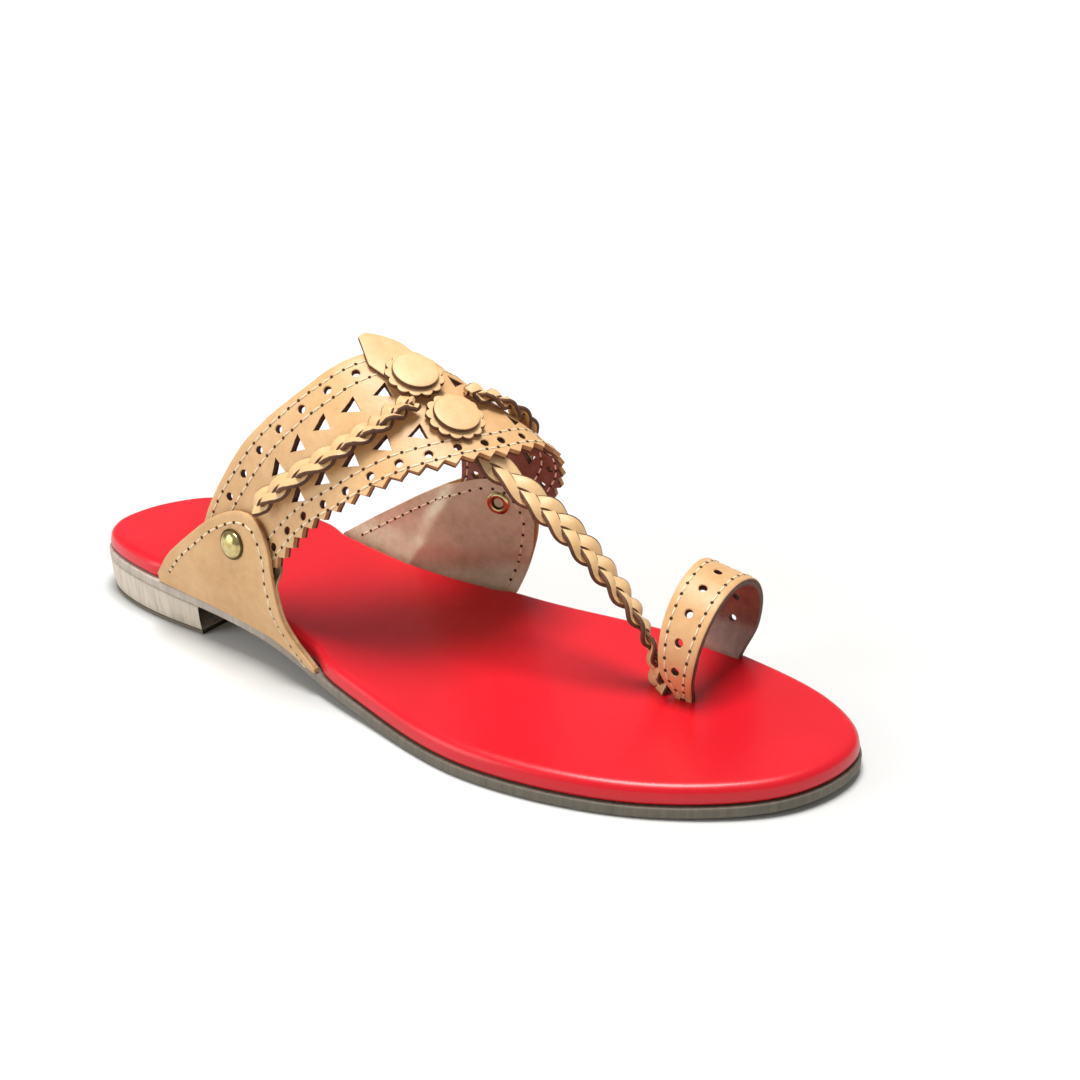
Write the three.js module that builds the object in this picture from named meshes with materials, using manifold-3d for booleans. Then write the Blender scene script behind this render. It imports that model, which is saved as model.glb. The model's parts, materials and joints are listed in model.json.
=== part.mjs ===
// Kolhapuri slide sandal, right foot: a braided and punched instep band between two riveted side
// wings, a braided toe strap and a big-toe ring, on a padded footbed, a thin outsole and a low heel.
// Millimetres, +Z up, +Y towards the toe, +X towards the little toe (lateral side).
import * as THREE from 'three';
import { mergeVertices } from 'three/addons/utils/BufferGeometryUtils.js';
import Module from 'manifold-3d';

const wasm = await Module();
wasm.setup();

// ---------------------------------------------------------------- driving dimensions
const GAP = 0.3;                 // between pieces that touch
const OUTSOLE_THICK = 3.0;
const FOOTBED_THICK = 5.4;
const FOOTBED_INSET = 0.9;       // footbed edge inside the outsole edge
const HEEL_LENGTH = 50;          // from the back of the sole to the heel breast
const TOP_PIECE_THICK = 1.2;     // thin wearing layer under the heel block
const BAND_THICK = 2.0;          // instep band with its lining
const WING_THICK = 1.7;          // side wing with its lining
const RING_THICK = 2.2;          // toe ring, two layers
const BAND_PLAIT_WIDTH = 7.4;
const TOE_PLAIT_WIDTH = 9.0;
const PLAIT_THICK = 3.0;
const RIVET_HEAD = 9.0;          // diameter of the domed cap
const RIVET_DOME = 2.0;          // how high the cap stands
const RIVET_SHANK = 3.0;
const RIVET_HOLE = 3.8;          // clearance hole through the wing and the band
const EYELET_FLANGE = 7.2;       // diameter of the rolled ring inside
const EYELET_MOUTH = 3.8;
const ROSETTE_DIAMETER = 16.8;
const BUTTON_DIAMETER = 13.0;
const DISC_THICK = 1.3;          // leather of the rosettes, buttons and tab
const SCALLOPS = 13;             // teeth round a rosette
const SCALLOP_DEPTH = 0.8;
const TAB_WIDTH = 14;

// sole outline, anticlockwise from the back of the heel up the lateral side
const SOLE_OUTLINE = [
  { x: 2.0, y: -2.3 }, { x: 13.5, y: -1.6 }, { x: 22.6, y: 7.0 }, { x: 28.3, y: 30.0 },
  { x: 30.2, y: 76.1 }, { x: 40.1, y: 119.2 }, { x: 48.3, y: 162.7 }, { x: 39.8, y: 204.3 },
  { x: 17.3, y: 236.6 }, { x: -10.1, y: 245.0 }, { x: -29.5, y: 229.0 }, { x: -39.9, y: 198.1 },
  { x: -40.9, y: 166.5 }, { x: -34.3, y: 119.7 }, { x: -27.2, y: 87.4 }, { x: -29.1, y: 43.5 },
  { x: -26.0, y: 22.3 }, { x: -19.3, y: 8.8 }, { x: -9.2, y: 1.2 },
];

// underside of the outsole: heel seat, arch, flat forefoot and toe spring
const SOLE_PROFILE = [
  { y: -5, z: 11.1 }, { y: 20, z: 11.0 }, { y: 50, z: 9.4 }, { y: 73, z: 7.3 }, { y: 93, z: 5.0 },
  { y: 113, z: 2.3 }, { y: 135, z: 0.3 }, { y: 146, z: 0 }, { y: 200, z: 0 }, { y: 225, z: 0.5 },
  { y: 246, z: 1.6 },
];

// the last over the instep: side walls and crest height at each station
const LAST = [
  { y: 20, lateral: 27.8, medial: -26.8, crest: 111.8 },
  { y: 40, lateral: 30.3, medial: -29.7, crest: 108.2 },
  { y: 60, lateral: 31.1, medial: -29.3, crest: 103.2 },
  { y: 80, lateral: 32.5, medial: -28.5, crest: 96.7 },
  { y: 100, lateral: 37.1, medial: -30.3, crest: 88.6 },
  { y: 120, lateral: 42.2, medial: -35.5, crest: 79.2 },
  { y: 140, lateral: 47.1, medial: -39.3, crest: 68.3 },
  { y: 160, lateral: 50.1, medial: -41.9, crest: 55.7 },
];
const LAST_AXIS = { x: -6.9, z: 6.0 };              // line that the section angles turn about
const LAST_FULLNESS = { lateral: 2.17, medial: 2.67 }; // superellipse exponents of the two sides

// edges of the instep band; the angle runs from 0 at the lateral side over the crest to 180
const BAND_EDGES = [
  { angle: 20, rear: 50.0, front: 73.0 }, { angle: 45, rear: 57.5, front: 96.5 },
  { angle: 60, rear: 68.0, front: 119.5 }, { angle: 75, rear: 88.2, front: 134.5 },
  { angle: 90, rear: 99.8, front: 140.9 }, { angle: 105, rear: 106.8, front: 142.0 },
  { angle: 120, rear: 105.5, front: 139.0 }, { angle: 135, rear: 96.5, front: 128.8 },
  { angle: 150, rear: 92.0, front: 121.0 },
];
const BAND_ENDS = { lateral: 31, medial: 146 };     // angles where the band stops inside the wings

// top edge of each wing in side view, from its back corner over the apex to its front corner
const LATERAL_WING = [
  { y: 34.4, z: 17.0 }, { y: 41.8, z: 25.1 }, { y: 51.6, z: 34.0 }, { y: 61.5, z: 41.7 },
  { y: 71.5, z: 46.0 }, { y: 79.5, z: 44.6 }, { y: 84.6, z: 38.1 }, { y: 86.6, z: 31.8 },
  { y: 90.0, z: 22.9 }, { y: 95.4, z: 14.6 }, { y: 103.2, z: 8.5 },
];
const MEDIAL_WING = [
  { y: 58.5, z: 15.2 }, { y: 68.0, z: 21.6 }, { y: 79.0, z: 28.6 }, { y: 91.0, z: 36.0 },
  { y: 103.3, z: 42.6 }, { y: 113.5, z: 46.0 }, { y: 121.5, z: 44.4 }, { y: 126.6, z: 37.0 },
  { y: 126.9, z: 29.0 }, { y: 124.6, z: 19.5 }, { y: 121.0, z: 8.6 },
];
// where each wing starts and stops along the sole, hidden between footbed and outsole
const WING_FOOT = { lateral: { back: 34.4, front: 103.2 }, medial: { back: 58.5, front: 118.6 } };
const WING_TUCK = { lateral: 3.2, medial: 2.5 };    // how far the wing draws in to meet the sole
const WING_TUCK_RISE = 14;                          // height over which it does
const WING_SEAT = 0.45;                             // inner face of a wing off the band's outer face

// rivets through wing and band, as places in side view
const RIVETS = { lateral: { y: 70.3, z: 36.1 }, medial: { y: 116.5, z: 38.5 } };

// routes of the plaits laid along the band: angle, and place across it (0 rear edge, 1 front edge)
const LATERAL_PLAIT = [
  { angle: 50.5, across: 0.435 }, { angle: 53.5, across: 0.465 }, { angle: 57, across: 0.525 },
  { angle: 64, across: 0.62 }, { angle: 70, across: 0.61 }, { angle: 75, across: 0.56 },
  { angle: 77, across: 0.54 },
];
const MEDIAL_PLAIT = [
  { angle: 91.8, across: 0.53 }, { angle: 101, across: 0.60 }, { angle: 108, across: 0.62 },
  { angle: 114, across: 0.57 }, { angle: 119.5, across: 0.50 },
];

// toe plait from under the band to the toe slot; roll turns its face towards the big toe
const TOE_PLAIT = [
  { x: -1.0, y: 120.0, z: 74.0, roll: -12 }, { x: -1.2, y: 129.0, z: 69.3, roll: -14 },
  { x: -1.6, y: 138.4, z: 63.7, roll: -16 }, { x: -2.5, y: 148.6, z: 57.4, roll: -19 },
  { x: -3.2, y: 156.3, z: 52.6, roll: -20 }, { x: -3.9, y: 163.6, z: 47.0, roll: -14 },
  { x: -4.4, y: 170.0, z: 41.1, roll: -2 }, { x: -4.9, y: 176.3, z: 35.0, roll: 10 },
  { x: -5.6, y: 181.3, z: 28.6, roll: 24 }, { x: -6.6, y: 184.5, z: 22.0, roll: 37 },
  { x: -7.5, y: 186.3, z: 15.5, roll: 50 }, { x: -7.9, y: 187.4, z: 9.5, roll: 62 },
  { x: -8.0, y: 187.6, z: 4.0, roll: 70 },
];

// toe ring: its rear and front edges, from the lateral root over the crest to the medial root
const TOE_RING = [
  { rear: [-6.0, 193.4, 4.0], front: [-5.8, 198.3, 4.0] },
  { rear: [-5.4, 193.2, 9.0], front: [-5.3, 198.4, 9.0] },
  { rear: [-1.6, 190.2, 18.0], front: [-1.4, 200.2, 18.0] },
  { rear: [-3.4, 189.4, 29.5], front: [-3.2, 201.5, 28.2] },
  { rear: [-11.0, 189.4, 38.4], front: [-10.8, 202.3, 36.2] },
  { rear: [-21.5, 189.4, 41.8], front: [-21.4, 202.5, 39.0] },
  { rear: [-32.0, 188.2, 38.2], front: [-32.0, 202.2, 35.9] },
  { rear: [-39.6, 186.4, 29.2], front: [-39.2, 201.2, 27.6] },
  { rear: [-41.2, 184.6, 18.2], front: [-40.6, 199.6, 17.3] },
  { rear: [-37.6, 184.0, 9.0], front: [-36.6, 197.2, 9.0] },
  { rear: [-37.0, 184.2, 4.0], front: [-36.2, 196.8, 4.0] },
];

// rosettes on the crest of the band: angle and place across
const ROSETTES = { rear: { angle: 85, across: 0.335 }, front: { angle: 83.5, across: 0.70 } };
const TAB = { angle: 86.5, tip: 91.8, shoulder: 100.0, end: 106.0 };

// ---------------------------------------------------------------- small mathematics
const smoothstep = (t) => {
  const s = Math.min(Math.max(t, 0), 1);
  return s * s * (3 - 2 * s);
};

// value of a column at a place, on a smooth curve that never overshoots its rows
function column(rows, by, key, at) {
  const xs = rows.map((row) => row[by]);
  const ys = rows.map((row) => row[key]);
  const last = xs.length - 1;
  if (at <= xs[0]) return ys[0];
  if (at >= xs[last]) return ys[last];
  const steps = xs.slice(1).map((x, i) => (ys[i + 1] - ys[i]) / (x - xs[i]));
  const slope = (i) => {
    if (i === 0) return steps[0];
    if (i === last) return steps[last - 1];
    const product = steps[i - 1] * steps[i];
    return product <= 0 ? 0 : (2 * product) / (steps[i - 1] + steps[i]);
  };
  const i = xs.findIndex((x) => x > at) - 1;
  const span = xs[i + 1] - xs[i];
  const t = (at - xs[i]) / span;
  return ys[i] * (1 + 2 * t) * (1 - t) ** 2 + slope(i) * span * t * (1 - t) ** 2
    + ys[i + 1] * t * t * (3 - 2 * t) + slope(i + 1) * span * t * t * (t - 1);
}

const curveThrough = (points, closed = false) =>
  new THREE.CatmullRomCurve3(points, closed, 'catmullrom', 0.5);

// ---------------------------------------------------------------- solids from points
function geometryOf(points, triangles) {
  const geometry = new THREE.BufferGeometry();
  geometry.setAttribute('position', new THREE.Float32BufferAttribute(points.flat(), 3));
  geometry.setIndex(triangles.flat());
  return geometry;
}

// a sheet of leather: a grid of points on a surface, given thickness along the surface normal
function sheet(surface, columns, rows, inner, outer) {
  const within = (t) => Math.min(Math.max(t, 0), 1);
  const at = (u, v) => new THREE.Vector3(...surface(within(u), within(v)));
  const step = 1e-3;
  const points = [];
  for (const offset of [inner, outer]) {
    for (let i = 0; i <= columns; i++) {
      for (let j = 0; j <= rows; j++) {
        const u = i / columns;
        const v = j / rows;
        const along = at(u + step, v).sub(at(u - step, v));
        const across = at(u, v + step).sub(at(u, v - step));
        const normal = along.cross(across).normalize();
        points.push(at(u, v).addScaledVector(normal, offset).toArray());
      }
    }
  }
  const index = (layer, i, j) => (layer * (columns + 1) + i) * (rows + 1) + j;
  const triangles = [];
  const quad = (a, b, c, d) => triangles.push([a, b, c], [a, c, d]);
  for (let i = 0; i < columns; i++) {
    for (let j = 0; j < rows; j++) {
      quad(index(0, i, j), index(0, i, j + 1), index(0, i + 1, j + 1), index(0, i + 1, j));
      quad(index(1, i, j), index(1, i + 1, j), index(1, i + 1, j + 1), index(1, i, j + 1));
    }
    quad(index(0, i, 0), index(0, i + 1, 0), index(1, i + 1, 0), index(1, i, 0));
    quad(index(0, i + 1, rows), index(0, i, rows), index(1, i, rows), index(1, i + 1, rows));
  }
  for (let j = 0; j < rows; j++) {
    quad(index(0, 0, j + 1), index(0, 0, j), index(1, 0, j), index(1, 0, j + 1));
    quad(index(0, columns, j), index(0, columns, j + 1), index(1, columns, j + 1), index(1, columns, j));
  }
  return geometryOf(points, triangles);
}

// a strap: a section swept through frames, each with a centre, a side and a face direction
function strap(frames, width, inner, outer) {
  const half = width / 2;
  const ease = 0.22 * (outer - inner);
  const section = [
    [-half, inner + ease], [-half + ease, inner], [half - ease, inner], [half, inner + ease],
    [half, outer - ease], [half - 3 * ease, outer], [-half + 3 * ease, outer], [-half, outer - ease],
  ];
  const sides = section.length;
  const points = frames.flatMap(({ centre, side, face }) => section.map(([across, out]) =>
    centre.clone().addScaledVector(side, across).addScaledVector(face, out).toArray()));
  const triangles = [];
  for (let i = 0; i + 1 < frames.length; i++) {
    for (let j = 0; j < sides; j++) {
      const [a, b] = [i * sides + j, i * sides + ((j + 1) % sides)];
      triangles.push([a, b, b + sides], [a, b + sides, a + sides]);
    }
  }
  const end = (frames.length - 1) * sides;
  for (let j = 1; j + 1 < sides; j++) {
    triangles.push([0, j + 1, j], [end, end + j, end + j + 1]);
  }
  return geometryOf(points, triangles);
}

// a slab with a curved outline: rings of points one above the other, closed by strips across
function slab(rings, capRows, bottom, top) {
  const count = rings[0].length;
  const half = count / 2;
  const points = rings.flat();
  const triangles = [];
  for (let k = 0; k + 1 < rings.length; k++) {
    for (let i = 0; i < count; i++) {
      const [a, b] = [k * count + i, k * count + ((i + 1) % count)];
      triangles.push([a, b, b + count], [a, b + count, a + count]);
    }
  }
  const cap = (base, height, up) => {
    const row = (i) => {
      if (i === 0 || i === half) return Array(capRows + 1).fill(base + i);
      const [right, left] = [points[base + i], points[base + count - i]];
      return Array.from({ length: capRows + 1 }, (_, j) => {
        if (j === 0) return base + i;
        if (j === capRows) return base + count - i;
        const t = j / capRows;
        const x = right[0] + (left[0] - right[0]) * t;
        const y = right[1] + (left[1] - right[1]) * t;
        return points.push([x, y, height(y)]) - 1;
      });
    };
    let here = row(0);
    for (let i = 0; i < half; i++) {
      const next = row(i + 1);
      for (let j = 0; j < capRows; j++) {
        const corners = [[here[j], next[j], next[j + 1]], [here[j], next[j + 1], here[j + 1]]];
        for (const [a, b, c] of corners) {
          if (a !== b && b !== c && c !== a) triangles.push(up ? [a, b, c] : [a, c, b]);
        }
      }
      here = next;
    }
  };
  cap(0, bottom, false);
  cap((rings.length - 1) * count, top, true);
  return geometryOf(points, triangles);
}

// ---------------------------------------------------------------- joins and cuts
function toManifold(geometry) {
  const bare = geometry.clone();
  bare.deleteAttribute('normal');
  bare.deleteAttribute('uv');
  const merged = mergeVertices(bare, 1e-5);
  return new wasm.Manifold(new wasm.Mesh({
    numProp: 3,
    vertProperties: new Float32Array(merged.attributes.position.array),
    triVerts: new Uint32Array(merged.index.array),
  }));
}

function fromManifold(solid) {
  const mesh = solid.getMesh();
  const geometry = new THREE.BufferGeometry();
  geometry.setAttribute('position', new THREE.BufferAttribute(mesh.vertProperties, 3));
  geometry.setIndex(new THREE.BufferAttribute(mesh.triVerts, 1));
  return geometry;
}

const cut = (geometry, ...tools) =>
  fromManifold(tools.reduce((left, tool) => left.subtract(toManifold(tool)), toManifold(geometry)));

const common = (geometry, tool) => fromManifold(toManifold(geometry).intersect(toManifold(tool)));

// ---------------------------------------------------------------- sole
const OUTLINE_STEPS = 36;        // stations from heel to toe on each side
const outlineCurve = curveThrough(SOLE_OUTLINE.map(({ x, y }) => new THREE.Vector3(x, y, 0)), true);
const outlinePoints = outlineCurve.getPoints(640).slice(0, -1);
const lowest = outlinePoints.reduce((best, p, i, all) => (p.y < all[best].y ? i : best), 0);
const highest = outlinePoints.reduce((best, p, i, all) => (p.y > all[best].y ? i : best), 0);

// loop of outline points: heel, up the lateral side, toe, and down the medial side
function outlineLoop() {
  const side = (from, to, step) => {
    const found = [];
    for (let i = from; i !== to; i = (i + step + outlinePoints.length) % outlinePoints.length) {
      found.push(outlinePoints[i]);
    }
    found.push(outlinePoints[to]);
    return found.map((p) => ({ x: p.x, y: p.y }));
  };
  const [heel, toe] = [outlinePoints[lowest], outlinePoints[highest]];
  const at = (points, y) => {
    const i = Math.max(1, points.findIndex((p) => p.y >= y));
    const t = (y - points[i - 1].y) / (points[i].y - points[i - 1].y);
    return [points[i - 1].x + (points[i].x - points[i - 1].x) * t, y];
  };
  const lateral = side(lowest, highest, 1);
  const medial = side(lowest, highest, -1);
  const stations = Array.from({ length: OUTLINE_STEPS - 1 }, (_, i) =>
    heel.y + (toe.y - heel.y) * (1 - Math.cos((Math.PI * (i + 1)) / OUTLINE_STEPS)) / 2);
  return [
    [heel.x, heel.y],
    ...stations.map((y) => at(lateral, y)),
    [toe.x, toe.y],
    ...stations.reverse().map((y) => at(medial, y)),
  ];
}

const SOLE_LOOP = outlineLoop();

// the sole loop drawn in by a distance, at a height above the sole profile
function soleRing(inset, heightAt) {
  const count = SOLE_LOOP.length;
  return SOLE_LOOP.map(([x, y], i) => {
    const [px, py] = SOLE_LOOP[(i + count - 1) % count];
    const [nx, ny] = SOLE_LOOP[(i + 1) % count];
    const length = Math.hypot(nx - px, ny - py);
    const across = x - (inset * (ny - py)) / length;
    const along = y + (inset * (nx - px)) / length;
    return [across, along, heightAt(along)];
  });
}

const underside = (y) => column(SOLE_PROFILE, 'y', 'z', y);
const outsoleTop = (y) => underside(y) + OUTSOLE_THICK;
const footbedBase = (y) => outsoleTop(y) + GAP;
const footbedTop = (y) => footbedBase(y) + FOOTBED_THICK;
const above = (base, rise) => (y) => base(y) + rise;

function outsole() {
  const rings = [
    soleRing(0.7, underside),
    soleRing(0.1, above(underside, 0.6)),
    soleRing(0, above(underside, 2.5)),
    soleRing(0.3, outsoleTop),
  ];
  return slab(rings, 4, underside, outsoleTop);
}

// the padded board with its covering turned over the edge
function footbedBlank() {
  const rings = [
    soleRing(FOOTBED_INSET + 0.3, footbedBase),
    soleRing(FOOTBED_INSET, above(footbedBase, 0.8)),
    soleRing(FOOTBED_INSET, above(footbedBase, 3.4)),
    soleRing(FOOTBED_INSET + 0.45, above(footbedBase, 4.6)),
    soleRing(FOOTBED_INSET + 1.3, above(footbedBase, 5.2)),
    soleRing(FOOTBED_INSET + 2.6, footbedTop),
  ];
  return slab(rings, 4, footbedBase, footbedTop);
}

// a box that keeps only what lies behind the heel breast
function heelKeep() {
  const box = new THREE.BoxGeometry(120, 80, 60);
  box.translate(0, HEEL_LENGTH - 40, 0);
  return box;
}

function heelBlock() {
  const base = () => TOP_PIECE_THICK + GAP;
  const seat = (y) => underside(y) - GAP;
  return common(slab([soleRing(0.9, base), soleRing(0.1, seat)], 4, base, seat), heelKeep());
}

function heelTopPiece() {
  const floor = () => 0;
  const top = () => TOP_PIECE_THICK;
  return common(slab([soleRing(1.1, floor), soleRing(0.9, top)], 4, floor, top), heelKeep());
}

// ---------------------------------------------------------------- upper, on the last
const RADIANS = Math.PI / 180;

// point of the last at a station and a section angle
function lastPoint(angle, y) {
  const [c, s] = [Math.cos(angle * RADIANS), Math.sin(angle * RADIANS)];
  const side = c >= 0 ? 'lateral' : 'medial';
  const reach = Math.abs(column(LAST, 'y', side, y) - LAST_AXIS.x);
  const rise = column(LAST, 'y', 'crest', y) - LAST_AXIS.z;
  const n = LAST_FULLNESS[side];
  const radius = (Math.abs(c / reach) ** n + Math.abs(s / rise) ** n) ** (-1 / n);
  return [LAST_AXIS.x + radius * c, y, LAST_AXIS.z + radius * s];
}

// place of the last's wall at a station and a height
function wallPoint(side, y, z) {
  const reach = column(LAST, 'y', side, y) - LAST_AXIS.x;
  const rise = column(LAST, 'y', 'crest', y) - LAST_AXIS.z;
  const n = LAST_FULLNESS[side];
  const share = Math.max(z - LAST_AXIS.z, 0) / rise;
  const tuck = WING_TUCK[side] * (1 - smoothstep((z - outsoleTop(y)) / WING_TUCK_RISE));
  const drawn = reach * (1 - share ** n) ** (1 / n) - Math.sign(reach) * tuck;
  return [LAST_AXIS.x + drawn, y, z];
}

// point of the band: angle over the instep, and place across from the rear to the front edge
function bandPoint(angle, across) {
  const rear = column(BAND_EDGES, 'angle', 'rear', angle);
  const front = column(BAND_EDGES, 'angle', 'front', angle);
  return lastPoint(angle, rear + (front - rear) * across);
}

// direction straight out of the band at a place on it
function bandNormal(angle, across) {
  const at = (a, b) => new THREE.Vector3(...bandPoint(a, b));
  const over = at(angle + 0.5, across).sub(at(angle - 0.5, across));
  const forward = at(angle, across + 0.01).sub(at(angle, across - 0.01));
  return forward.cross(over).normalize();
}

// the band lies inside the last's surface, so its outer face is the last
function upperBand() {
  const { lateral, medial } = BAND_ENDS;
  const surface = (u, v) => bandPoint(lateral + (medial - lateral) * u, v);
  const band = sheet(surface, 40, 8, 0, BAND_THICK);
  return cut(band, rivetHole('lateral'), rivetHole('medial'));
}

// a wing runs from the sole edge up to its own top edge; extra grows it for clearance cuts
function wingSheet(side, edge, extra) {
  const foot = WING_FOOT[side];
  const middle = (foot.back + foot.front) / 2;
  const grown = (y) => middle + (y - middle) * (1 + (4 * extra) / (foot.front - foot.back));
  const top = curveThrough(edge.map(({ y, z }) => new THREE.Vector3(0, grown(y), z + extra)));
  const [back, front] = [grown(foot.back), grown(foot.front)];
  const surface = (u, v) => {
    const { y, z } = top.getPoint(u);
    const start = back + (front - back) * u;
    const base = outsoleTop(start) + WING_SEAT - extra;
    return wallPoint(side, start + (y - start) * v, base + (z - base) * v);
  };
  const [inner, outer] = [WING_SEAT - extra, WING_SEAT + WING_THICK + extra];
  return side === 'lateral'
    ? sheet(surface, 26, 8, inner, outer)
    : sheet((u, v) => surface(1 - u, v), 26, 8, inner, outer);
}

const lateralWing = () => cut(wingSheet('lateral', LATERAL_WING, 0), rivetHole('lateral'));
const medialWing = () => cut(wingSheet('medial', MEDIAL_WING, 0), rivetHole('medial'));

// ---------------------------------------------------------------- rivets
// frame of a rivet: its centre on the last and the direction out of the wing
function rivetFrame(side) {
  const { y, z } = RIVETS[side];
  const at = (dy, dz) => new THREE.Vector3(...wallPoint(side, y + dy, z + dz));
  const along = at(1, 0).sub(at(-1, 0));
  const up = at(0, 1).sub(at(0, -1));
  const out = along.cross(up).normalize();
  if (side === 'medial') out.negate();
  return { centre: at(0, 0), out };
}

// turn a lathe-made shape, whose axis is +Y, so that it looks out of the wing
function placeRivet(geometry, side) {
  const { centre, out } = rivetFrame(side);
  const turn = new THREE.Quaternion().setFromUnitVectors(new THREE.Vector3(0, 1, 0), out);
  return geometry.applyQuaternion(turn).translate(centre.x, centre.y, centre.z);
}

function rivetHole(side) {
  return placeRivet(new THREE.CylinderGeometry(RIVET_HOLE / 2, RIVET_HOLE / 2, 16, 16), side);
}

// domed cap outside, shank through wing and band, and a rolled eyelet with a hollow inside
function rivet(side) {
  const under = WING_THICK + GAP * 2.4;
  const inside = -BAND_THICK - GAP * 1.4;
  const head = RIVET_HEAD / 2;
  const shank = RIVET_SHANK / 2;
  const flange = EYELET_FLANGE / 2;
  const mouth = EYELET_MOUTH / 2;
  const roll = 1.0;
  const profile = [
    [0, under + RIVET_DOME],
    [head * 0.45, under + RIVET_DOME * 0.9],
    [head * 0.8, under + RIVET_DOME * 0.575],
    [head, under + RIVET_DOME * 0.175],
    [head, under],
    [shank, under],
    [shank, inside],
    [flange - 0.3, inside],
    [flange, inside - roll / 2],
    [flange - 0.4, inside - roll],
    [mouth, inside - roll],
    [mouth - 0.7, inside - 0.4],
    [0, inside - 0.4],
  ];
  const points = profile.map(([r, h]) => new THREE.Vector2(r, h)).reverse();
  return placeRivet(new THREE.LatheGeometry(points, 18), side);
}

// ---------------------------------------------------------------- plaits
// frames of a plait laid on the band
function bandPlaitFrames(rows, steps) {
  const first = rows[0].angle;
  const last = rows[rows.length - 1].angle;
  const place = (angle) =>
    new THREE.Vector3(...bandPoint(angle, column(rows, 'angle', 'across', angle)));
  return Array.from({ length: steps + 1 }, (_, i) => {
    const angle = first + ((last - first) * i) / steps;
    const centre = place(angle);
    const along = place(angle + 0.2).sub(place(angle - 0.2));
    const face = bandNormal(angle, column(rows, 'angle', 'across', angle));
    const side = face.clone().cross(along).normalize();
    return { centre, side, face };
  });
}

const PLAIT_SEAT = 0.5;          // a flat plait on a curved band sits this far off it
const SLOT_REACH = 5;            // how much further a slot is cut than the strap end in it
const bandPlait = (rows) =>
  strap(bandPlaitFrames(rows, 16), BAND_PLAIT_WIDTH, PLAIT_SEAT, PLAIT_SEAT + PLAIT_THICK);

// frames of the toe plait, which turns on its way down to the slot
function toePlaitFrames(steps, reach) {
  const end = TOE_PLAIT.length - 1;
  const path = curveThrough(TOE_PLAIT.map(({ x, y, z }, i) =>
    new THREE.Vector3(x, y, i === end ? z - reach : z)));
  const turns = curveThrough(TOE_PLAIT.map(({ roll }) => new THREE.Vector3(roll, 0, 0)));
  return Array.from({ length: steps + 1 }, (_, i) => {
    const t = i / steps;
    const along = path.getTangent(t);
    const level = new THREE.Vector3(-1, 0, 0).addScaledVector(along, along.x).normalize();
    const side = level.applyAxisAngle(along, -turns.getPoint(t).x * RADIANS);
    return { centre: path.getPoint(t), side, face: along.clone().cross(side).normalize() };
  });
}

const toePlait = (extra) =>
  strap(toePlaitFrames(40, SLOT_REACH * extra), TOE_PLAIT_WIDTH + 2 * extra,
    -PLAIT_THICK / 2 - extra, PLAIT_THICK / 2 + extra);

// ---------------------------------------------------------------- toe ring
function toeRing(extra) {
  const end = TOE_RING.length - 1;
  const edge = (key) => curveThrough(TOE_RING.map((row, i) => {
    const [x, y, z] = row[key];
    return new THREE.Vector3(x, y, i === 0 || i === end ? z - SLOT_REACH * extra : z);
  }));
  const [rear, front] = [edge('rear'), edge('front')];
  const surface = (u, v) => {
    const [a, b] = [rear.getPoint(u), front.getPoint(u)];
    const width = a.distanceTo(b);
    return a.lerp(b, v + (extra / width) * (2 * v - 1)).toArray();
  };
  return sheet(surface, 36, 4, -extra, RING_THICK + extra);
}

function footbed() {
  const room = GAP * 1.5;
  const wings = [wingSheet('lateral', LATERAL_WING, room), wingSheet('medial', MEDIAL_WING, room)];
  return cut(footbedBlank(), ...wings, toeRing(room), toePlait(room));
}

// ---------------------------------------------------------------- crest ornaments
// stand a shape drawn in the XY plane on the band, facing out
function placeOnBand(geometry, { angle, across }, lift) {
  const face = bandNormal(angle, across);
  const turn = new THREE.Quaternion().setFromUnitVectors(new THREE.Vector3(0, 0, 1), face);
  const seat = new THREE.Vector3(...bandPoint(angle, across)).addScaledVector(face, lift);
  return geometry.applyQuaternion(turn).translate(seat.x, seat.y, seat.z);
}

function rosette() {
  const outline = new THREE.Shape();
  const sides = 4;
  const steps = SCALLOPS * sides;
  for (let i = 0; i < steps; i++) {
    const turn = (2 * Math.PI * i) / steps;
    const radius = ROSETTE_DIAMETER / 2 - (i % sides ? 0 : SCALLOP_DEPTH);
    outline[i ? 'lineTo' : 'moveTo'](radius * Math.cos(turn), radius * Math.sin(turn));
  }
  return new THREE.ExtrudeGeometry(outline, { depth: DISC_THICK, bevelEnabled: false });
}

function button() {
  const radius = BUTTON_DIAMETER / 2;
  const profile = [
    [0, 0],
    [radius, 0],
    [radius, DISC_THICK - 0.3],
    [radius - 0.4, DISC_THICK],
    [0, DISC_THICK + 0.3],
  ];
  const points = profile.map(([r, h]) => new THREE.Vector2(r, h));
  return new THREE.LatheGeometry(points, 28).rotateX(Math.PI / 2);
}

// pointed tongue that stands out behind the band's rear edge, under the rear rosette
const tabLift = () => GAP + 0.1;
function centreTab() {
  const half = TAB_WIDTH / 2;
  const surface = (u, v) => {
    const y = TAB.tip + (TAB.end - TAB.tip) * u;
    const open = Math.min(Math.max((y - TAB.tip) / (TAB.shoulder - TAB.tip), 0.02), 1);
    const radius = column(LAST, 'y', 'crest', y) - LAST_AXIS.z;
    return lastPoint(TAB.angle + (((v - 0.5) * 2 * half * open) / radius) / RADIANS, y);
  };
  return sheet(surface, 10, 4, tabLift(), tabLift() + DISC_THICK);
}

// ---------------------------------------------------------------- assembly
const MATERIALS = {
  rubber: { color: 0x7a7466, roughness: 0.75, metalness: 0 },
  stack: { color: 0xc9beaf, roughness: 0.6, metalness: 0 },
  topPiece: { color: 0x8d8470, roughness: 0.8, metalness: 0 },
  red: { color: 0xe3172a, roughness: 0.35, metalness: 0 },
  tan: { color: 0xd8b78a, roughness: 0.55, metalness: 0 },
  brass: { color: 0xc9b27a, roughness: 0.3, metalness: 1 },
};

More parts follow.
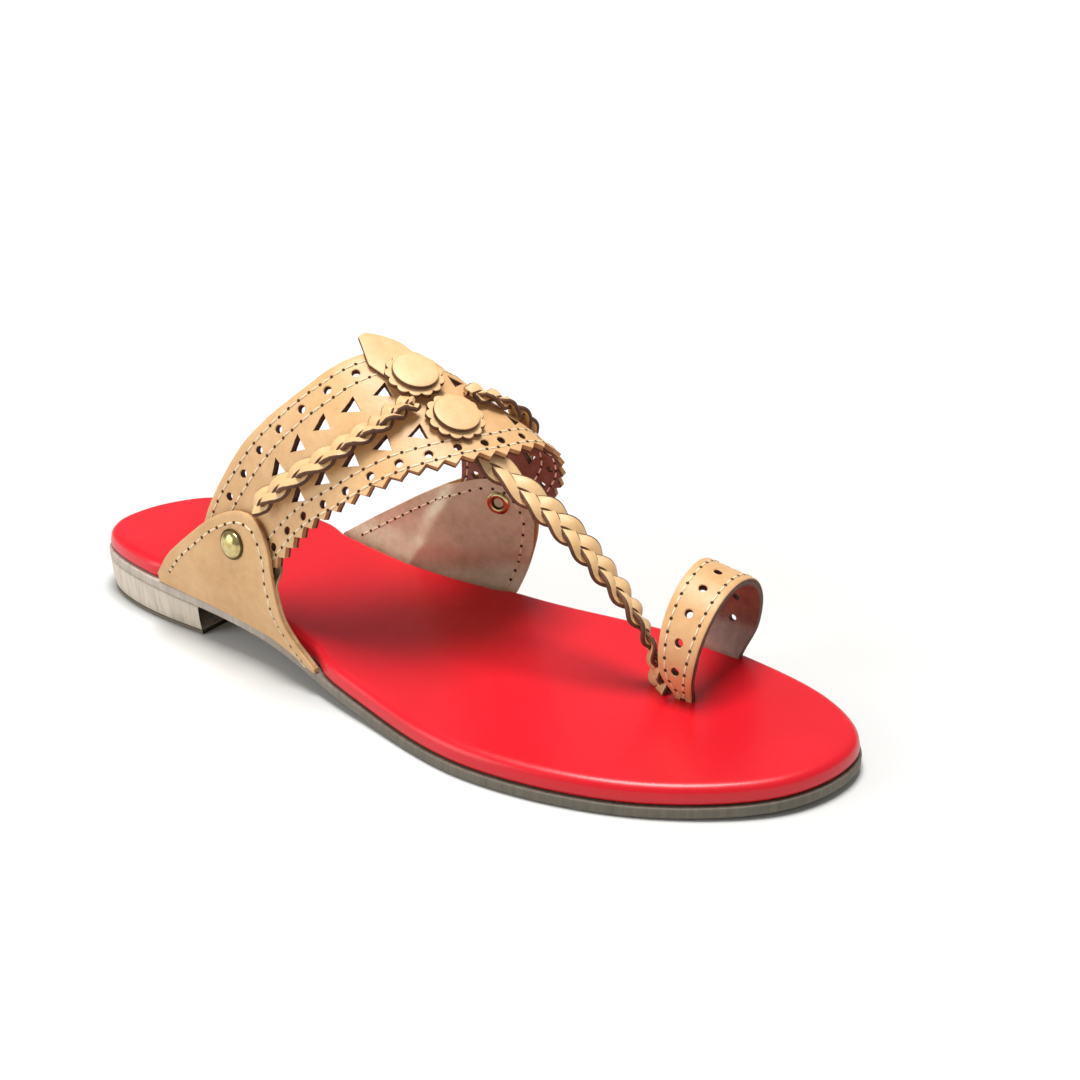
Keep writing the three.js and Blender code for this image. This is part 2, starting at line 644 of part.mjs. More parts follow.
const liftOfRosette = { rear: tabLift() + DISC_THICK + GAP, front: GAP + 0.2 };
const liftOfButton = (place) => liftOfRosette[place] + DISC_THICK + GAP;

const PIECES = [
  ['outsole', outsole(), 'rubber'],
  ['heel_block', heelBlock(), 'stack'],
  ['heel_top_piece', heelTopPiece(), 'topPiece'],
  ['footbed', footbed(), 'red'],
  ['upper_band', upperBand(), 'tan'],
  ['wing_lateral', lateralWing(), 'tan'],
  ['wing_medial', medialWing(), 'tan'],
  ['rivet_lateral', rivet('lateral'), 'brass'],
  ['rivet_medial', rivet('medial'), 'brass'],
  ['plait_lateral', bandPlait(LATERAL_PLAIT), 'tan'],
  ['plait_medial', bandPlait(MEDIAL_PLAIT), 'tan'],
  ['toe_plait', toePlait(0), 'tan'],
  ['toe_ring', toeRing(0), 'tan'],
  ['centre_tab', centreTab(), 'tan'],
  ['rosette_rear', placeOnBand(rosette(), ROSETTES.rear, liftOfRosette.rear), 'tan'],
  ['rosette_front', placeOnBand(rosette(), ROSETTES.front, liftOfRosette.front), 'tan'],
  ['button_rear', placeOnBand(button(), ROSETTES.rear, liftOfButton('rear')), 'tan'],
  ['button_front', placeOnBand(button(), ROSETTES.front, liftOfButton('front')), 'tan'],
];

const sandal = new THREE.Group();
for (const [name, geometry, finish] of PIECES) {
  const mesh = new THREE.Mesh(geometry, new THREE.MeshStandardMaterial(MATERIALS[finish]));
  mesh.name = name;
  sandal.add(mesh);
}

// the origin is on the floor under the middle of the whole sandal
const box = new THREE.Box3().setFromObject(sandal);
sandal.position.set(-(box.min.x + box.max.x) / 2, -(box.min.y + box.max.y) / 2, -box.min.z);
sandal.updateMatrixWorld(true);

export default sandal;
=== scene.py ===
# %% [markdown]
# # A Kolhapuri slide sandal for the right foot
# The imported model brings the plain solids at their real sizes. This script dresses them: every leather
# piece is cut, punched, stitched and bent here as a maker would do it, first flat and then over the
# shape of the foot. Sizes are in millimetres while we think about them and in metres once they are meshes.

# %% Load the frame
import json
import math

import bmesh
import bpy
from mathutils import Matrix, Quaternion, Vector

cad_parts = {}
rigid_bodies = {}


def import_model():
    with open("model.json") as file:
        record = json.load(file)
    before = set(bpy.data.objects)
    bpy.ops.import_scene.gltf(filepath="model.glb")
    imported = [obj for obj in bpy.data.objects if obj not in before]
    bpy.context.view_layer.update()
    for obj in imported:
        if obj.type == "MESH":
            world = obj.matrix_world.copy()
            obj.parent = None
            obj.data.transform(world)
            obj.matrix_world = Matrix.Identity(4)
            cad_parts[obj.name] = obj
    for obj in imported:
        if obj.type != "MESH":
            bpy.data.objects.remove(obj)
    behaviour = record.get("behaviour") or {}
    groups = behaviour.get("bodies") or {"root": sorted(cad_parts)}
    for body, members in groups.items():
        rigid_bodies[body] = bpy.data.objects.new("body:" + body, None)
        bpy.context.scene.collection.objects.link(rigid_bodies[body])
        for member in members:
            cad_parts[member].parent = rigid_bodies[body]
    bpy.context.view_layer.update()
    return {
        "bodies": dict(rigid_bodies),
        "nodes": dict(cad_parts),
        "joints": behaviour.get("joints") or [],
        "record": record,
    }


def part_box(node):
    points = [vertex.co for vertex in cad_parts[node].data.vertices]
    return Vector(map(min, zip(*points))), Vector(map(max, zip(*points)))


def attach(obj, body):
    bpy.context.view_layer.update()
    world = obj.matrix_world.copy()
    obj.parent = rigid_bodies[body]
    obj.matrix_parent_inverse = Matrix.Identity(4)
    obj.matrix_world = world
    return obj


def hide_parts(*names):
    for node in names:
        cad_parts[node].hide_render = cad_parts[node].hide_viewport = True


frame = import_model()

MM = 0.001

# %% [markdown]
# ## The drawing frame
# The sandal is easiest to draw from the back of its heel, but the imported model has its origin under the
# middle. The sole's outline is a closed curve through nineteen points, the same one that the solids use,
# so the box of that curve against the box of the outsole gives the shift between the two frames. Two
# small curve functions serve everything: one goes through points, the other reads a column of a table.

# %% The sole's outline
SOLE_OUTLINE = [
    (2.0, -2.3), (13.5, -1.6), (22.6, 7.0), (28.3, 30.0), (30.2, 76.1), (40.1, 119.2), (48.3, 162.7),
    (39.8, 204.3), (17.3, 236.6), (-10.1, 245.0), (-29.5, 229.0), (-39.9, 198.1), (-40.9, 166.5),
    (-34.3, 119.7), (-27.2, 87.4), (-29.1, 43.5), (-26.0, 22.3), (-19.3, 8.8), (-9.2, 1.2),
]


def spline(points, t, closed=False):
    """Point at t from 0 to 1 on a smooth curve through the points, each a tuple of numbers."""
    count = len(points)
    spans = count if closed else count - 1
    place = min(max(t, 0.0), 1.0) * spans
    i = min(int(place), spans - 1)
    f = place - i

    def at(k):
        if closed:
            return points[k % count]
        if k < 0:
            return tuple(2 * a - b for a, b in zip(points[0], points[1]))
        if k >= count:
            return tuple(2 * a - b for a, b in zip(points[-1], points[-2]))
        return points[k]

    rows = zip(at(i - 1), at(i), at(i + 1), at(i + 2))
    return tuple(
        b + 0.5 * f * (c - a + f * (2 * a - 5 * b + 4 * c - d + f * (3 * (b - c) + d - a)))
        for a, b, c, d in rows
    )


OUTLINE_STEPS = 240
outline = [spline(SOLE_OUTLINE, i / OUTLINE_STEPS, closed=True) for i in range(OUTLINE_STEPS)]
print("sole", round(max(p[1] for p in outline) - min(p[1] for p in outline), 1), "mm long")

# %% Tables and the shift


def column(rows, key, at, by="y"):
    """Value of one named column at a place, on a smooth curve that never overshoots its rows."""
    xs = [row[by] for row in rows]
    ys = [row[key] for row in rows]
    if at <= xs[0]:
        return ys[0]
    if at >= xs[-1]:
        return ys[-1]
    steps = [(ys[i + 1] - ys[i]) / (xs[i + 1] - xs[i]) for i in range(len(xs) - 1)]

    def slope(i):
        if i in (0, len(xs) - 1):
            return steps[0] if i == 0 else steps[-1]
        product = steps[i - 1] * steps[i]
        return 0.0 if product <= 0 else 2 * product / (steps[i - 1] + steps[i])

    i = next(k for k, x in enumerate(xs) if x > at) - 1
    span = xs[i + 1] - xs[i]
    t = (at - xs[i]) / span
    return (ys[i] * (1 + 2 * t) * (1 - t) ** 2 + slope(i) * span * t * (1 - t) ** 2
            + ys[i + 1] * t * t * (3 - 2 * t) + slope(i + 1) * span * t * t * (t - 1))


def smoothstep(t):
    """A soft change from 0 to 1 as t goes from 0 to 1."""
    t = min(max(t, 0.0), 1.0)
    return t * t * (3 - 2 * t)


sole_low, sole_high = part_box("outsole")
drawn_middle = [(min(p[k] for p in outline) + max(p[k] for p in outline)) / 2 for k in (0, 1)]
SHIFT = Vector([(sole_low[k] + sole_high[k]) / 2 / MM - drawn_middle[k] for k in (0, 1)] + [0])


def metres(point):
    """A point of the drawing frame, in millimetres, as a place in the scene."""
    return (Vector(point) + SHIFT) * MM


print("drawing frame shifted by", [round(v, 2) for v in SHIFT], "mm")

# %% [markdown]
# ## Camera
# A camera of 55 mm looks from in front of the toes on the outer side, about 24 degrees above the floor.

# %% Camera
AZIMUTH, ELEVATION = math.radians(124.505), math.radians(24.08)
DISTANCE, TARGET = 531.8, Vector((-67.84, 106.66, 10.0))
SENSOR_MM, LENS_MM = 36.0, 54.9333

back = Vector((math.sin(AZIMUTH) * math.cos(ELEVATION), -math.cos(AZIMUTH) * math.cos(ELEVATION),
               math.sin(ELEVATION)))
camera = bpy.data.objects.new("camera", bpy.data.cameras.new("camera"))
bpy.context.scene.collection.objects.link(camera)
camera.data.sensor_width, camera.data.lens = SENSOR_MM, LENS_MM
camera.location = metres(TARGET + back * DISTANCE)
camera.rotation_mode = "QUATERNION"
camera.rotation_quaternion = (-back).to_track_quat("-Z", "Y")
camera.data.clip_start, camera.data.clip_end = 0.01, 20
bpy.context.scene.camera = camera
print("lens", round(camera.data.lens, 1), "mm, camera at", [round(v, 3) for v in camera.location], "m")

# %% [markdown]
# ## Helpers for materials
# Colours are written as the hex values a dyer's card would carry. Screens store them with a curve, so one
# function turns them into the linear values that light needs. One more function adds a node to a material
# with its settings and its links in one line.

# %% Material helpers


def colour(hex_code):
    """An sRGB hex colour as linear red, green, blue and alpha."""
    parts = [int(hex_code[i:i + 2], 16) / 255 for i in (1, 3, 5)]
    return tuple(c / 12.92 if c <= 0.04045 else ((c + 0.055) / 1.055) ** 2.4 for c in parts) + (1.0,)


def add_node(material, kind, links=None, **settings):
    """Adds a node. links maps input names to output sockets; settings are properties or input values."""
    node = material.node_tree.nodes.new(kind)
    for key, value in settings.items():
        name = key.replace("_", " ").title()
        if hasattr(node, key):
            setattr(node, key, value)
        else:
            node.inputs[name].default_value = value
    for name, socket in (links or {}).items():
        material.node_tree.links.new(socket, node.inputs[name])
    return node


def new_material(name):
    """A material with nothing in it but its surface shader, and that shader."""
    material = bpy.data.materials.new(name)
    material.use_nodes = True
    return material, material.node_tree.nodes["Principled BSDF"]


def ramp(material, factor, stops):
    """A colour ramp over a factor; stops are (place, hex colour)."""
    node = add_node(material, "ShaderNodeValToRGB", {"Fac": factor})
    elements = node.color_ramp.elements
    while len(elements) < len(stops):
        elements.new(0.5)
    for element, (place, hex_code) in zip(elements, stops):
        element.position = place
        element.color = colour(hex_code)
    return node


print("a waxed thread's colour in linear light:", [round(c, 3) for c in colour("#E6D5B6")])

# %% [markdown]
# ## Tan leather
# Kolhapuri uppers are vegetable-tanned buffalo or cow hide: a warm tan that is paler where it has been
# stretched, with a fine pore grain and a soft, half-matt finish from hand burnishing. Three noises do
# it: a slow one for the hide's cloudiness, a finer one for the mottle, and pores in the bump. Strands,
# tab, rosettes and buttons are of the stretched hide. Cut sides are dyed dark, except on the wings,
# where the raw fibre shows paler. The band is lined with brown pigskin and the wings with smooth pale
# sheepskin, which shines a little.

# %% Leather materials
GRAIN_MM = 0.55         # real pores are 0.1 to 0.2 mm; they are drawn coarser, or they wouldn't show
MOTTLE_MM, CLOUD_MM = 3.0, 18.0


def leather(name, pale, main, deep, roughness=0.52, grain=0.35):
    """Vegetable-tanned leather with three tones, from stretched to burnished."""
    material, shader = new_material(name)
    place = add_node(material, "ShaderNodeTexCoord").outputs["Object"]
    cloud = add_node(material, "ShaderNodeTexNoise", {"Vector": place}, scale=1000 / CLOUD_MM, detail=3.0)
    mottle = add_node(material, "ShaderNodeTexNoise", {"Vector": place}, scale=1000 / MOTTLE_MM, detail=5.0,
                      roughness=0.65)
    mixed = add_node(material, "ShaderNodeMath", {0: cloud.outputs["Fac"], 1: mottle.outputs["Fac"]})
    half = add_node(material, "ShaderNodeMath", {0: mixed.outputs[0]}, operation="MULTIPLY")
    half.inputs[1].default_value = 0.5
    tones = ramp(material, half.outputs[0], [(0.34, deep), (0.5, main), (0.66, pale)])
    pores = add_node(material, "ShaderNodeTexVoronoi", {"Vector": place}, scale=1000 / GRAIN_MM)
    fine = add_node(material, "ShaderNodeTexNoise", {"Vector": place}, scale=1000 / GRAIN_MM, detail=4.0)
    relief = add_node(material, "ShaderNodeMath", {0: pores.outputs["Distance"], 1: fine.outputs["Fac"]})
    bump = add_node(material, "ShaderNodeBump", {"Height": relief.outputs[0]}, strength=grain,
                    distance=0.08 * MM)
    links = material.node_tree.links
    links.new(tones.outputs["Color"], shader.inputs["Base Color"])
    links.new(bump.outputs["Normal"], shader.inputs["Normal"])
    shader.inputs["Roughness"].default_value = roughness
    shader.inputs["IOR"].default_value = 1.48
    return material


tan = leather("veg_tan_leather_burnished", "#D8AE7C", "#D0A470", "#C69864", roughness=0.46)
tan_bright = leather("veg_tan_leather_stretched", "#E2BC8A", "#DAB27E", "#D0A672", roughness=0.48)
raw_edge = leather("leather_edge_cut_and_dyed", "#6E452A", "#56341E", "#402414", roughness=0.7, grain=0.8)
pale_edge = leather("leather_edge_cut_raw", "#C79A66", "#A97B4B", "#8A5E36", roughness=0.7, grain=0.8)
brown_lining = leather("pigskin_lining_dark_brown", "#966B56", "#7E5543", "#644131", roughness=0.4)
taupe_lining = leather("sheepskin_lining_taupe", "#D9CFB4", "#CBBF9F", "#B3A586", roughness=0.26)
print("leathers:", [m.name for m in bpy.data.materials if "leather" in m.name or "lining" in m.name])

# %% [markdown]
# ## Red cover, rubber, heel stack, brass and thread
# The footbed is covered in coated leather: a saturated red under a clear film, so it has soft wide
# highlights and fine creases. The outsole is a sheet of resin rubber with a trimmed edge, its colour
# painted paler at the back as painted light and darker at the forefoot as painted shade. The heel is a
# moulded block printed with the upright streaks of stacked leather. The rivets are brass, and the thread
# is waxed polyester.

# %% Red cover
CLOUD_RED_MM, CREASE_MM, GRAIN_RED_MM = 45, 9, 0.8


def coated_red():
    """Pigmented leather with a clear polyurethane film over foam."""
    material, shader = new_material("coated_leather_red_padded")
    place = add_node(material, "ShaderNodeTexCoord").outputs["Object"]
    slow = add_node(material, "ShaderNodeTexNoise", {"Vector": place}, scale=1000 / CLOUD_RED_MM,
                    detail=2.0)
    tones = ramp(material, slow.outputs["Fac"], [(0.3, "#CE061A"), (0.7, "#DC0C22")])
    drawn = add_node(material, "ShaderNodeMapping", {"Vector": place})
    drawn.inputs["Scale"].default_value = (0.4, 1.3, 1)
    creases = add_node(material, "ShaderNodeTexNoise", {"Vector": drawn.outputs["Vector"]},
                       scale=1000 / CREASE_MM, detail=5.0, roughness=0.6)
    grain = add_node(material, "ShaderNodeTexVoronoi", {"Vector": place}, scale=1000 / GRAIN_RED_MM)
    soft = add_node(material, "ShaderNodeBump", {"Height": creases.outputs["Fac"]}, strength=0.25,
                    distance=0.6 * MM)
    fine = add_node(material, "ShaderNodeBump", {"Height": grain.outputs["Distance"],
                                                 "Normal": soft.outputs["Normal"]}, strength=0.06,
                    distance=0.05 * MM)
    links = material.node_tree.links
    links.new(tones.outputs["Color"], shader.inputs["Base Color"])
    links.new(fine.outputs["Normal"], shader.inputs["Normal"])
    shader.inputs["Roughness"].default_value = 0.38
    shader.inputs["IOR"].default_value = 1.5
    shader.inputs["Specular IOR Level"].default_value = 0.4
    shader.inputs["Coat Weight"].default_value = 0.2
    shader.inputs["Coat Roughness"].default_value = 0.18
    return material


red_cover = coated_red()
print("nodes in the red cover:", len(red_cover.node_tree.nodes))

# %% Streaked edges
STREAK_SQUEEZE = 0.06


def streaked(name, tones, streak_mm, roughness, ahead=None):
    """A trimmed edge whose colour runs in upright streaks: noise squeezed along the floor.

    ahead is (tones, from, to): tones that take over between two places along the sole, as painted shade.
    """
    material, shader = new_material(name)
    place = add_node(material, "ShaderNodeTexCoord").outputs["Object"]
    squeeze = add_node(material, "ShaderNodeMapping", {"Vector": place})
    squeeze.inputs["Scale"].default_value = (1, 1, STREAK_SQUEEZE)
    streaks = add_node(material, "ShaderNodeTexNoise", {"Vector": squeeze.outputs["Vector"]},
                       scale=1000 / streak_mm, detail=6.0, roughness=0.7)
    tone = ramp(material, streaks.outputs["Fac"], tones)
    bump = add_node(material, "ShaderNodeBump", {"Height": streaks.outputs["Fac"]}, strength=0.3,
                    distance=0.1 * MM)
    seen = tone.outputs["Color"]
    links = material.node_tree.links
    if ahead:
        along = add_node(material, "ShaderNodeSeparateXYZ", {"Vector": place}).outputs["Y"]
        share = add_node(material, "ShaderNodeMapRange", {"Value": along}, interpolation_type="SMOOTHSTEP")
        share.inputs["From Min"].default_value = metres((0, ahead[1], 0)).y
        share.inputs["From Max"].default_value = metres((0, ahead[2], 0)).y
        other = ramp(material, streaks.outputs["Fac"], ahead[0])
        mix = add_node(material, "ShaderNodeMix", {"Factor": share.outputs["Result"]}, data_type="RGBA")
        colour_sockets = [socket for socket in mix.inputs if socket.type == "RGBA"]
        links.new(seen, colour_sockets[0])
        links.new(other.outputs["Color"], colour_sockets[1])
        seen = next(socket for socket in mix.outputs if socket.type == "RGBA")
    links.new(seen, shader.inputs["Base Color"])
    links.new(bump.outputs["Normal"], shader.inputs["Normal"])
    shader.inputs["Roughness"].default_value = roughness
    return material


# The outsole's edge tones are painted light and shade: pale at the heel, darker from the arch to the toe.
PAINTED_SHADE_FROM_Y, PAINTED_SHADE_FULL_Y = 45, 135
outsole_rubber = streaked("resin_rubber_trimmed_edge", [(0.3, "#A3978A"), (0.7, "#C8BCAE")], 2.0, 0.6,
                          ([(0.3, "#5A5447"), (0.7, "#746D5E")], PAINTED_SHADE_FROM_Y, PAINTED_SHADE_FULL_Y))
heel_stack = streaked("stacked_leather_heel_sanded",
                      [(0.3, "#AC9F90"), (0.5, "#CABDAC"), (0.72, "#DCD1C2")], 1.6, 0.5)
print("streaked edges:", outsole_rubber.name, "and", heel_stack.name)

# %% Brass, thread and small finishes


def brass():
    """Stamped brass with a lacquer gone slightly dull."""
    material, shader = new_material("brass_stamped_antique")
    place = add_node(material, "ShaderNodeTexCoord").outputs["Object"]
    dull = add_node(material, "ShaderNodeTexNoise", {"Vector": place}, scale=1000 / 2.0, detail=4.0)
    tones = ramp(material, dull.outputs["Fac"], [(0.35, "#B59F66"), (0.65, "#DCCB95")])
    material.node_tree.links.new(tones.outputs["Color"], shader.inputs["Base Color"])
    shader.inputs["Metallic"].default_value = 1.0
    shader.inputs["Roughness"].default_value = 0.24
    return material


def plain(name, hex_code, roughness, metallic=0.0, fuzz_mm=0.3):
    """A small part's finish: one tone with a fine mottle."""
    material, shader = new_material(name)
    place = add_node(material, "ShaderNodeTexCoord").outputs["Object"]
    mottle = add_node(material, "ShaderNodeTexNoise", {"Vector": place}, scale=1000 / fuzz_mm, detail=2.0)
    bump = add_node(material, "ShaderNodeBump", {"Height": mottle.outputs["Fac"]}, strength=0.3,
                    distance=0.05 * MM)
    material.node_tree.links.new(bump.outputs["Normal"], shader.inputs["Normal"])
    shader.inputs["Base Color"].default_value = colour(hex_code)
    shader.inputs["Roughness"].default_value = roughness
    shader.inputs["Metallic"].default_value = metallic
    return material


top_rubber = plain("rubber_top_piece_moulded", "#6F6757", 0.75, fuzz_mm=1.0)
brass_metal = brass()
dark_brass = plain("brass_rim_tarnished", "#5A4A2A", 0.45, metallic=1.0)
thread_yarn = plain("polyester_thread_waxed", "#E6D5B6", 0.55)
# flat discs painted dark at the stitch holes: painted shade for the holes' depth
awl_dark = plain("awl_hole_shadow", "#38230F", 0.9)
print(len(bpy.data.materials), "materials")

# %% [markdown]
# ## Helpers for meshes
# Most pieces grow the same way: a ring of edges is extruded again and again, and each new ring is moved
# to where the piece goes next. The ends are then filled. That is one function here, and the leather sheets
# are another: a flat grid that is bent over the foot's shape after it has been cut.

# %% Mesh helpers
root = "root"


def to_object(bm, name, materials=()):
    """Puts a bmesh into a new object at the origin."""
    mesh = bpy.data.meshes.new(name)
    bm.to_mesh(mesh)
    bm.free()
    for material in materials:
        mesh.materials.append(material)
    obj = bpy.data.objects.new(name, mesh)
    bpy.context.scene.collection.objects.link(obj)
    return obj


def mark_folds(bm, sharp):
    """Smooth faces, with every fold over an angle in degrees kept sharp."""
    bm.normal_update()
    for edge in bm.edges:
        edge.smooth = len(edge.link_faces) < 2 or edge.calc_face_angle(0) < math.radians(sharp)
    for face in bm.faces:
        face.smooth = True


def finish_mesh(bm, name, materials, sharp=35):
    """Turns a bmesh into a finished object, with its sharp folds marked."""
    mark_folds(bm, sharp)
    return to_object(bm, name, materials)


def belongs(obj, slot, *nodes):
    """Rides a finished piece on its body and hides the solids it stands for; slot is not used."""
    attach(obj, root)
    if nodes:
        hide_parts(*nodes)
    print(f"{obj.name}: {len(obj.data.polygons)} faces")
    return obj


def loft(bm, rings, flat_frame=False):
    """Extrudes a closed ring of edges through further rings, and returns the rings of vertices."""
    place = Vector if flat_frame else metres
    first = bmesh.ops.create_circle(bm, segments=len(rings[0]), radius=1.0)["verts"]
    for vert, point in zip(first, rings[0]):
        vert.co = place(point)
    made = [first]
    for ring in rings[1:]:
        here = made[-1]
        edges = [bm.edges.get((here[i], here[i - 1])) for i in range(len(here))]
        grown = bmesh.ops.extrude_edge_only(bm, edges=edges)["geom"]
        fresh = {}
        new = {g for g in grown if isinstance(g, bmesh.types.BMVert)}
        for vert in new:
            for edge in vert.link_edges:
                other = edge.other_vert(vert)
                if other not in new:
                    fresh[other] = vert
        made.append([fresh[v] for v in here])
        for vert, point in zip(made[-1], ring):
            vert.co = place(point)
    return made


print("every piece rides on the body", root)

# %% [markdown]
# ## Outsole, heel and footbed
# All of them follow the same outline, drawn in by a little here and there. Rings of the outline go up the
# edge, over it, and then close in on the middle line of the sole, so the roll of a padded edge keeps the
# same radius all the way round the toe and the heel.

# %% The sole's shape
SOLE_PROFILE = [
    {"y": -5, "z": 11.1}, {"y": 20, "z": 11.0}, {"y": 50, "z": 9.4}, {"y": 73, "z": 7.3}, {"y": 93, "z": 5.0},
    {"y": 113, "z": 2.3}, {"y": 135, "z": 0.3}, {"y": 146, "z": 0}, {"y": 200, "z": 0}, {"y": 225, "z": 0.5},
    {"y": 246, "z": 1.6},
]
OUTSOLE_THICK, FOOTBED_THICK, GAP = 3.0, 5.4, 0.3
SOLE_LENGTH, HEEL_LENGTH, TOP_PIECE_THICK = 245.0, 50.0, 1.2


def underside(y):
    """Height of the outsole's lower face."""
    return column(SOLE_PROFILE, "z", y)


def outsole_top(y):
    """Height of the outsole's upper face."""
    return underside(y) + OUTSOLE_THICK


def outward(i):
    """Direction away from the sole at a point of its outline."""
    before, after = outline[i - 1], outline[(i + 1) % OUTLINE_STEPS]
    return Vector((after[1] - before[1], before[0] - after[0], 0)).normalized()


MIDDLE_BACK, MIDDLE_FRONT, MIDDLE_X, MIDDLE_BOW, MIDDLE_LEAN = 26.0, 212.0, -0.5, 7.5, 0.02


def middle_of(point):
    """Where a point of the outline ends up when the outline shrinks onto the sole's middle line."""
    y = min(max(point[1], MIDDLE_BACK), MIDDLE_FRONT)
    share = (y - MIDDLE_BACK) / (MIDDLE_FRONT - MIDDLE_BACK)
    bow = MIDDLE_BOW * math.sin(math.pi * share) * y / SOLE_LENGTH
    return Vector((MIDDLE_X + bow - MIDDLE_LEAN * y, y, 0))


def sole_ring(inset, height, shrink=0.0, room=None):
    """The outline drawn in by a distance, then shrunk towards the middle; height is a function of y."""
    ring = []
    for i, point in enumerate(outline):
        pressed = room(point) if room else 0.0
        edge = Vector((point[0], point[1], 0)) - outward(i) * (inset + pressed)
        place = edge.lerp(middle_of(point), shrink)
        ring.append((place.x, place.y, height(place.y)))
    return ring


SHRINKS = (0.06, 0.18, 0.34, 0.52, 0.7, 0.86, 1.0)
print("outsole is flat from the ball at", SOLE_PROFILE[7]["y"], "mm")

# %% Outsole


def sole_slab(name, materials, bottom, top, edge_rows, room=None):
    """A slab with the sole's outline. edge_rows are (inset, share of the thickness) from bottom to top."""
    def level(share):
        return lambda y: bottom(y) + (top(y) - bottom(y)) * share

    first, last = edge_rows[0][0], edge_rows[-1][0]
    rings = [sole_ring(first, bottom, s, room) for s in reversed(SHRINKS)]
    rings += [sole_ring(inset, level(share), 0.0, room) for inset, share in edge_rows]
    rings += [sole_ring(last, top, s, room) for s in SHRINKS]
    bm = bmesh.new()
    loft(bm, rings)
    bmesh.ops.remove_doubles(bm, verts=bm.verts, dist=0.01 * MM)
    bmesh.ops.recalc_face_normals(bm, faces=bm.faces)
    return finish_mesh(bm, name, materials, sharp=50)


outsole = sole_slab("outsole_sheet", [outsole_rubber], underside, outsole_top,
                    [(0.7, 0), (0.25, 0.06), (0, 0.2), (0, 0.88), (0.12, 0.96), (0.4, 1)])
belongs(outsole, "outsole_rubber", "outsole")

# %% [markdown]
# ## Heel
# The heel block is the same outline cut off straight at the breast. The full slab is made first and one
# plane cuts the front away, which is just what a heel maker's saw does. A thin rubber top piece is below.

# %% Heel


def cut_at_breast(obj, y):
    """Keeps what is behind a plane across the sole, and closes the cut."""
    bm = bmesh.new()
    bm.from_mesh(obj.data)
    bm.normal_update()
    where = metres((0, y, 0))
    parts = bm.verts[:] + bm.edges[:] + bm.faces[:]
    made = bmesh.ops.bisect_plane(bm, geom=parts, plane_co=where, plane_no=(0, 1, 0), clear_outer=True)
    rim = [g for g in made["geom_cut"] if isinstance(g, bmesh.types.BMEdge)]
    bmesh.ops.holes_fill(bm, edges=rim, sides=0)
    bmesh.ops.triangulate(bm, faces=[f for f in bm.faces if len(f.verts) > 4])
    mark_folds(bm, 40)
    bm.to_mesh(obj.data)
    bm.free()
    return obj


def level_at(z):
    """A level surface, for a face that stands on the floor."""
    return lambda y: z


heel = sole_slab("heel_block_stacked", [heel_stack], level_at(TOP_PIECE_THICK + GAP / 3),
                 lambda y: underside(y) - GAP / 3,
                 [(1.3, 0), (0.95, 0.04), (0.35, 0.5), (0.1, 0.96), (0.4, 1)])
belongs(cut_at_breast(heel, HEEL_LENGTH), "heel_stack", "heel_block")
top_piece = sole_slab("heel_top_piece_rubber", [top_rubber], level_at(0), level_at(TOP_PIECE_THICK),
                      [(1.4, 0), (1.05, 0.2), (0.95, 0.85), (1.1, 1)])
belongs(cut_at_breast(top_piece, HEEL_LENGTH + 0.15), "top_piece_rubber", "heel_top_piece")

# %% [markdown]
# ## Padded footbed
# A board with thin foam over it, and the red cover turned over the edge and tucked under. The edge is
# rolled to a radius of almost 3 mm. Where a wing comes up past it, the edge is pressed in, and it eases
# back out beyond the wing. A cloth simulation isn't needed, since firm foam glued to a board stays flat.

# %% Footbed
FOOTBED_INSET, ROLL_RADIUS = 0.9, 2.8


def footbed_base(y):
    """Height of the board's lower face."""
    return outsole_top(y) + GAP


def footbed_top(y):
    """Height of the red cover's upper face."""
    return footbed_base(y) + FOOTBED_THICK


WING_FOOT = {"lateral": (34.4, 103.2), "medial": (58.5, 118.6)}
WING_PRESS, PRESS_EASE = 2.0, 8.0


def wing_room(point):
    """How far the pad is pressed in where a wing comes up past its edge."""
    start, stop = WING_FOOT["lateral" if point[0] > 0 else "medial"]
    past_start, before_stop = ((d / PRESS_EASE + 0.5) for d in (point[1] - start, stop - point[1]))
    return WING_PRESS * smoothstep(past_start) * smoothstep(before_stop)


roll = [(FOOTBED_INSET + ROLL_RADIUS * (1 - math.cos(a)), 0.52 + 0.48 * math.sin(a))
        for a in (math.radians(d) for d in range(0, 91, 10))]
footbed = sole_slab("footbed_padded", [red_cover], footbed_base, footbed_top,
                    [(FOOTBED_INSET + 0.9, 0), (FOOTBED_INSET + 0.25, 0.05), (FOOTBED_INSET - 0.15, 0.16),
                     (FOOTBED_INSET - 0.25, 0.32)] + roll, wing_room)
belongs(footbed, "footbed_cover", "footbed")
print("footbed top at the forefoot:", round(footbed_top(170), 2), "mm")

# %% [markdown]
# ## The foot's shape over the instep
# A shoemaker stretches the upper over a last. Here the last is a formula: at every station along the foot
# its section is a rounded arch, with a width on either side and a crest height from one short table. The
# outer face of the instep band lies exactly on it. A place on the band is given by an angle, from the
# outer side over the crest to the inner side, and by how far across it is from the rear to the front edge.

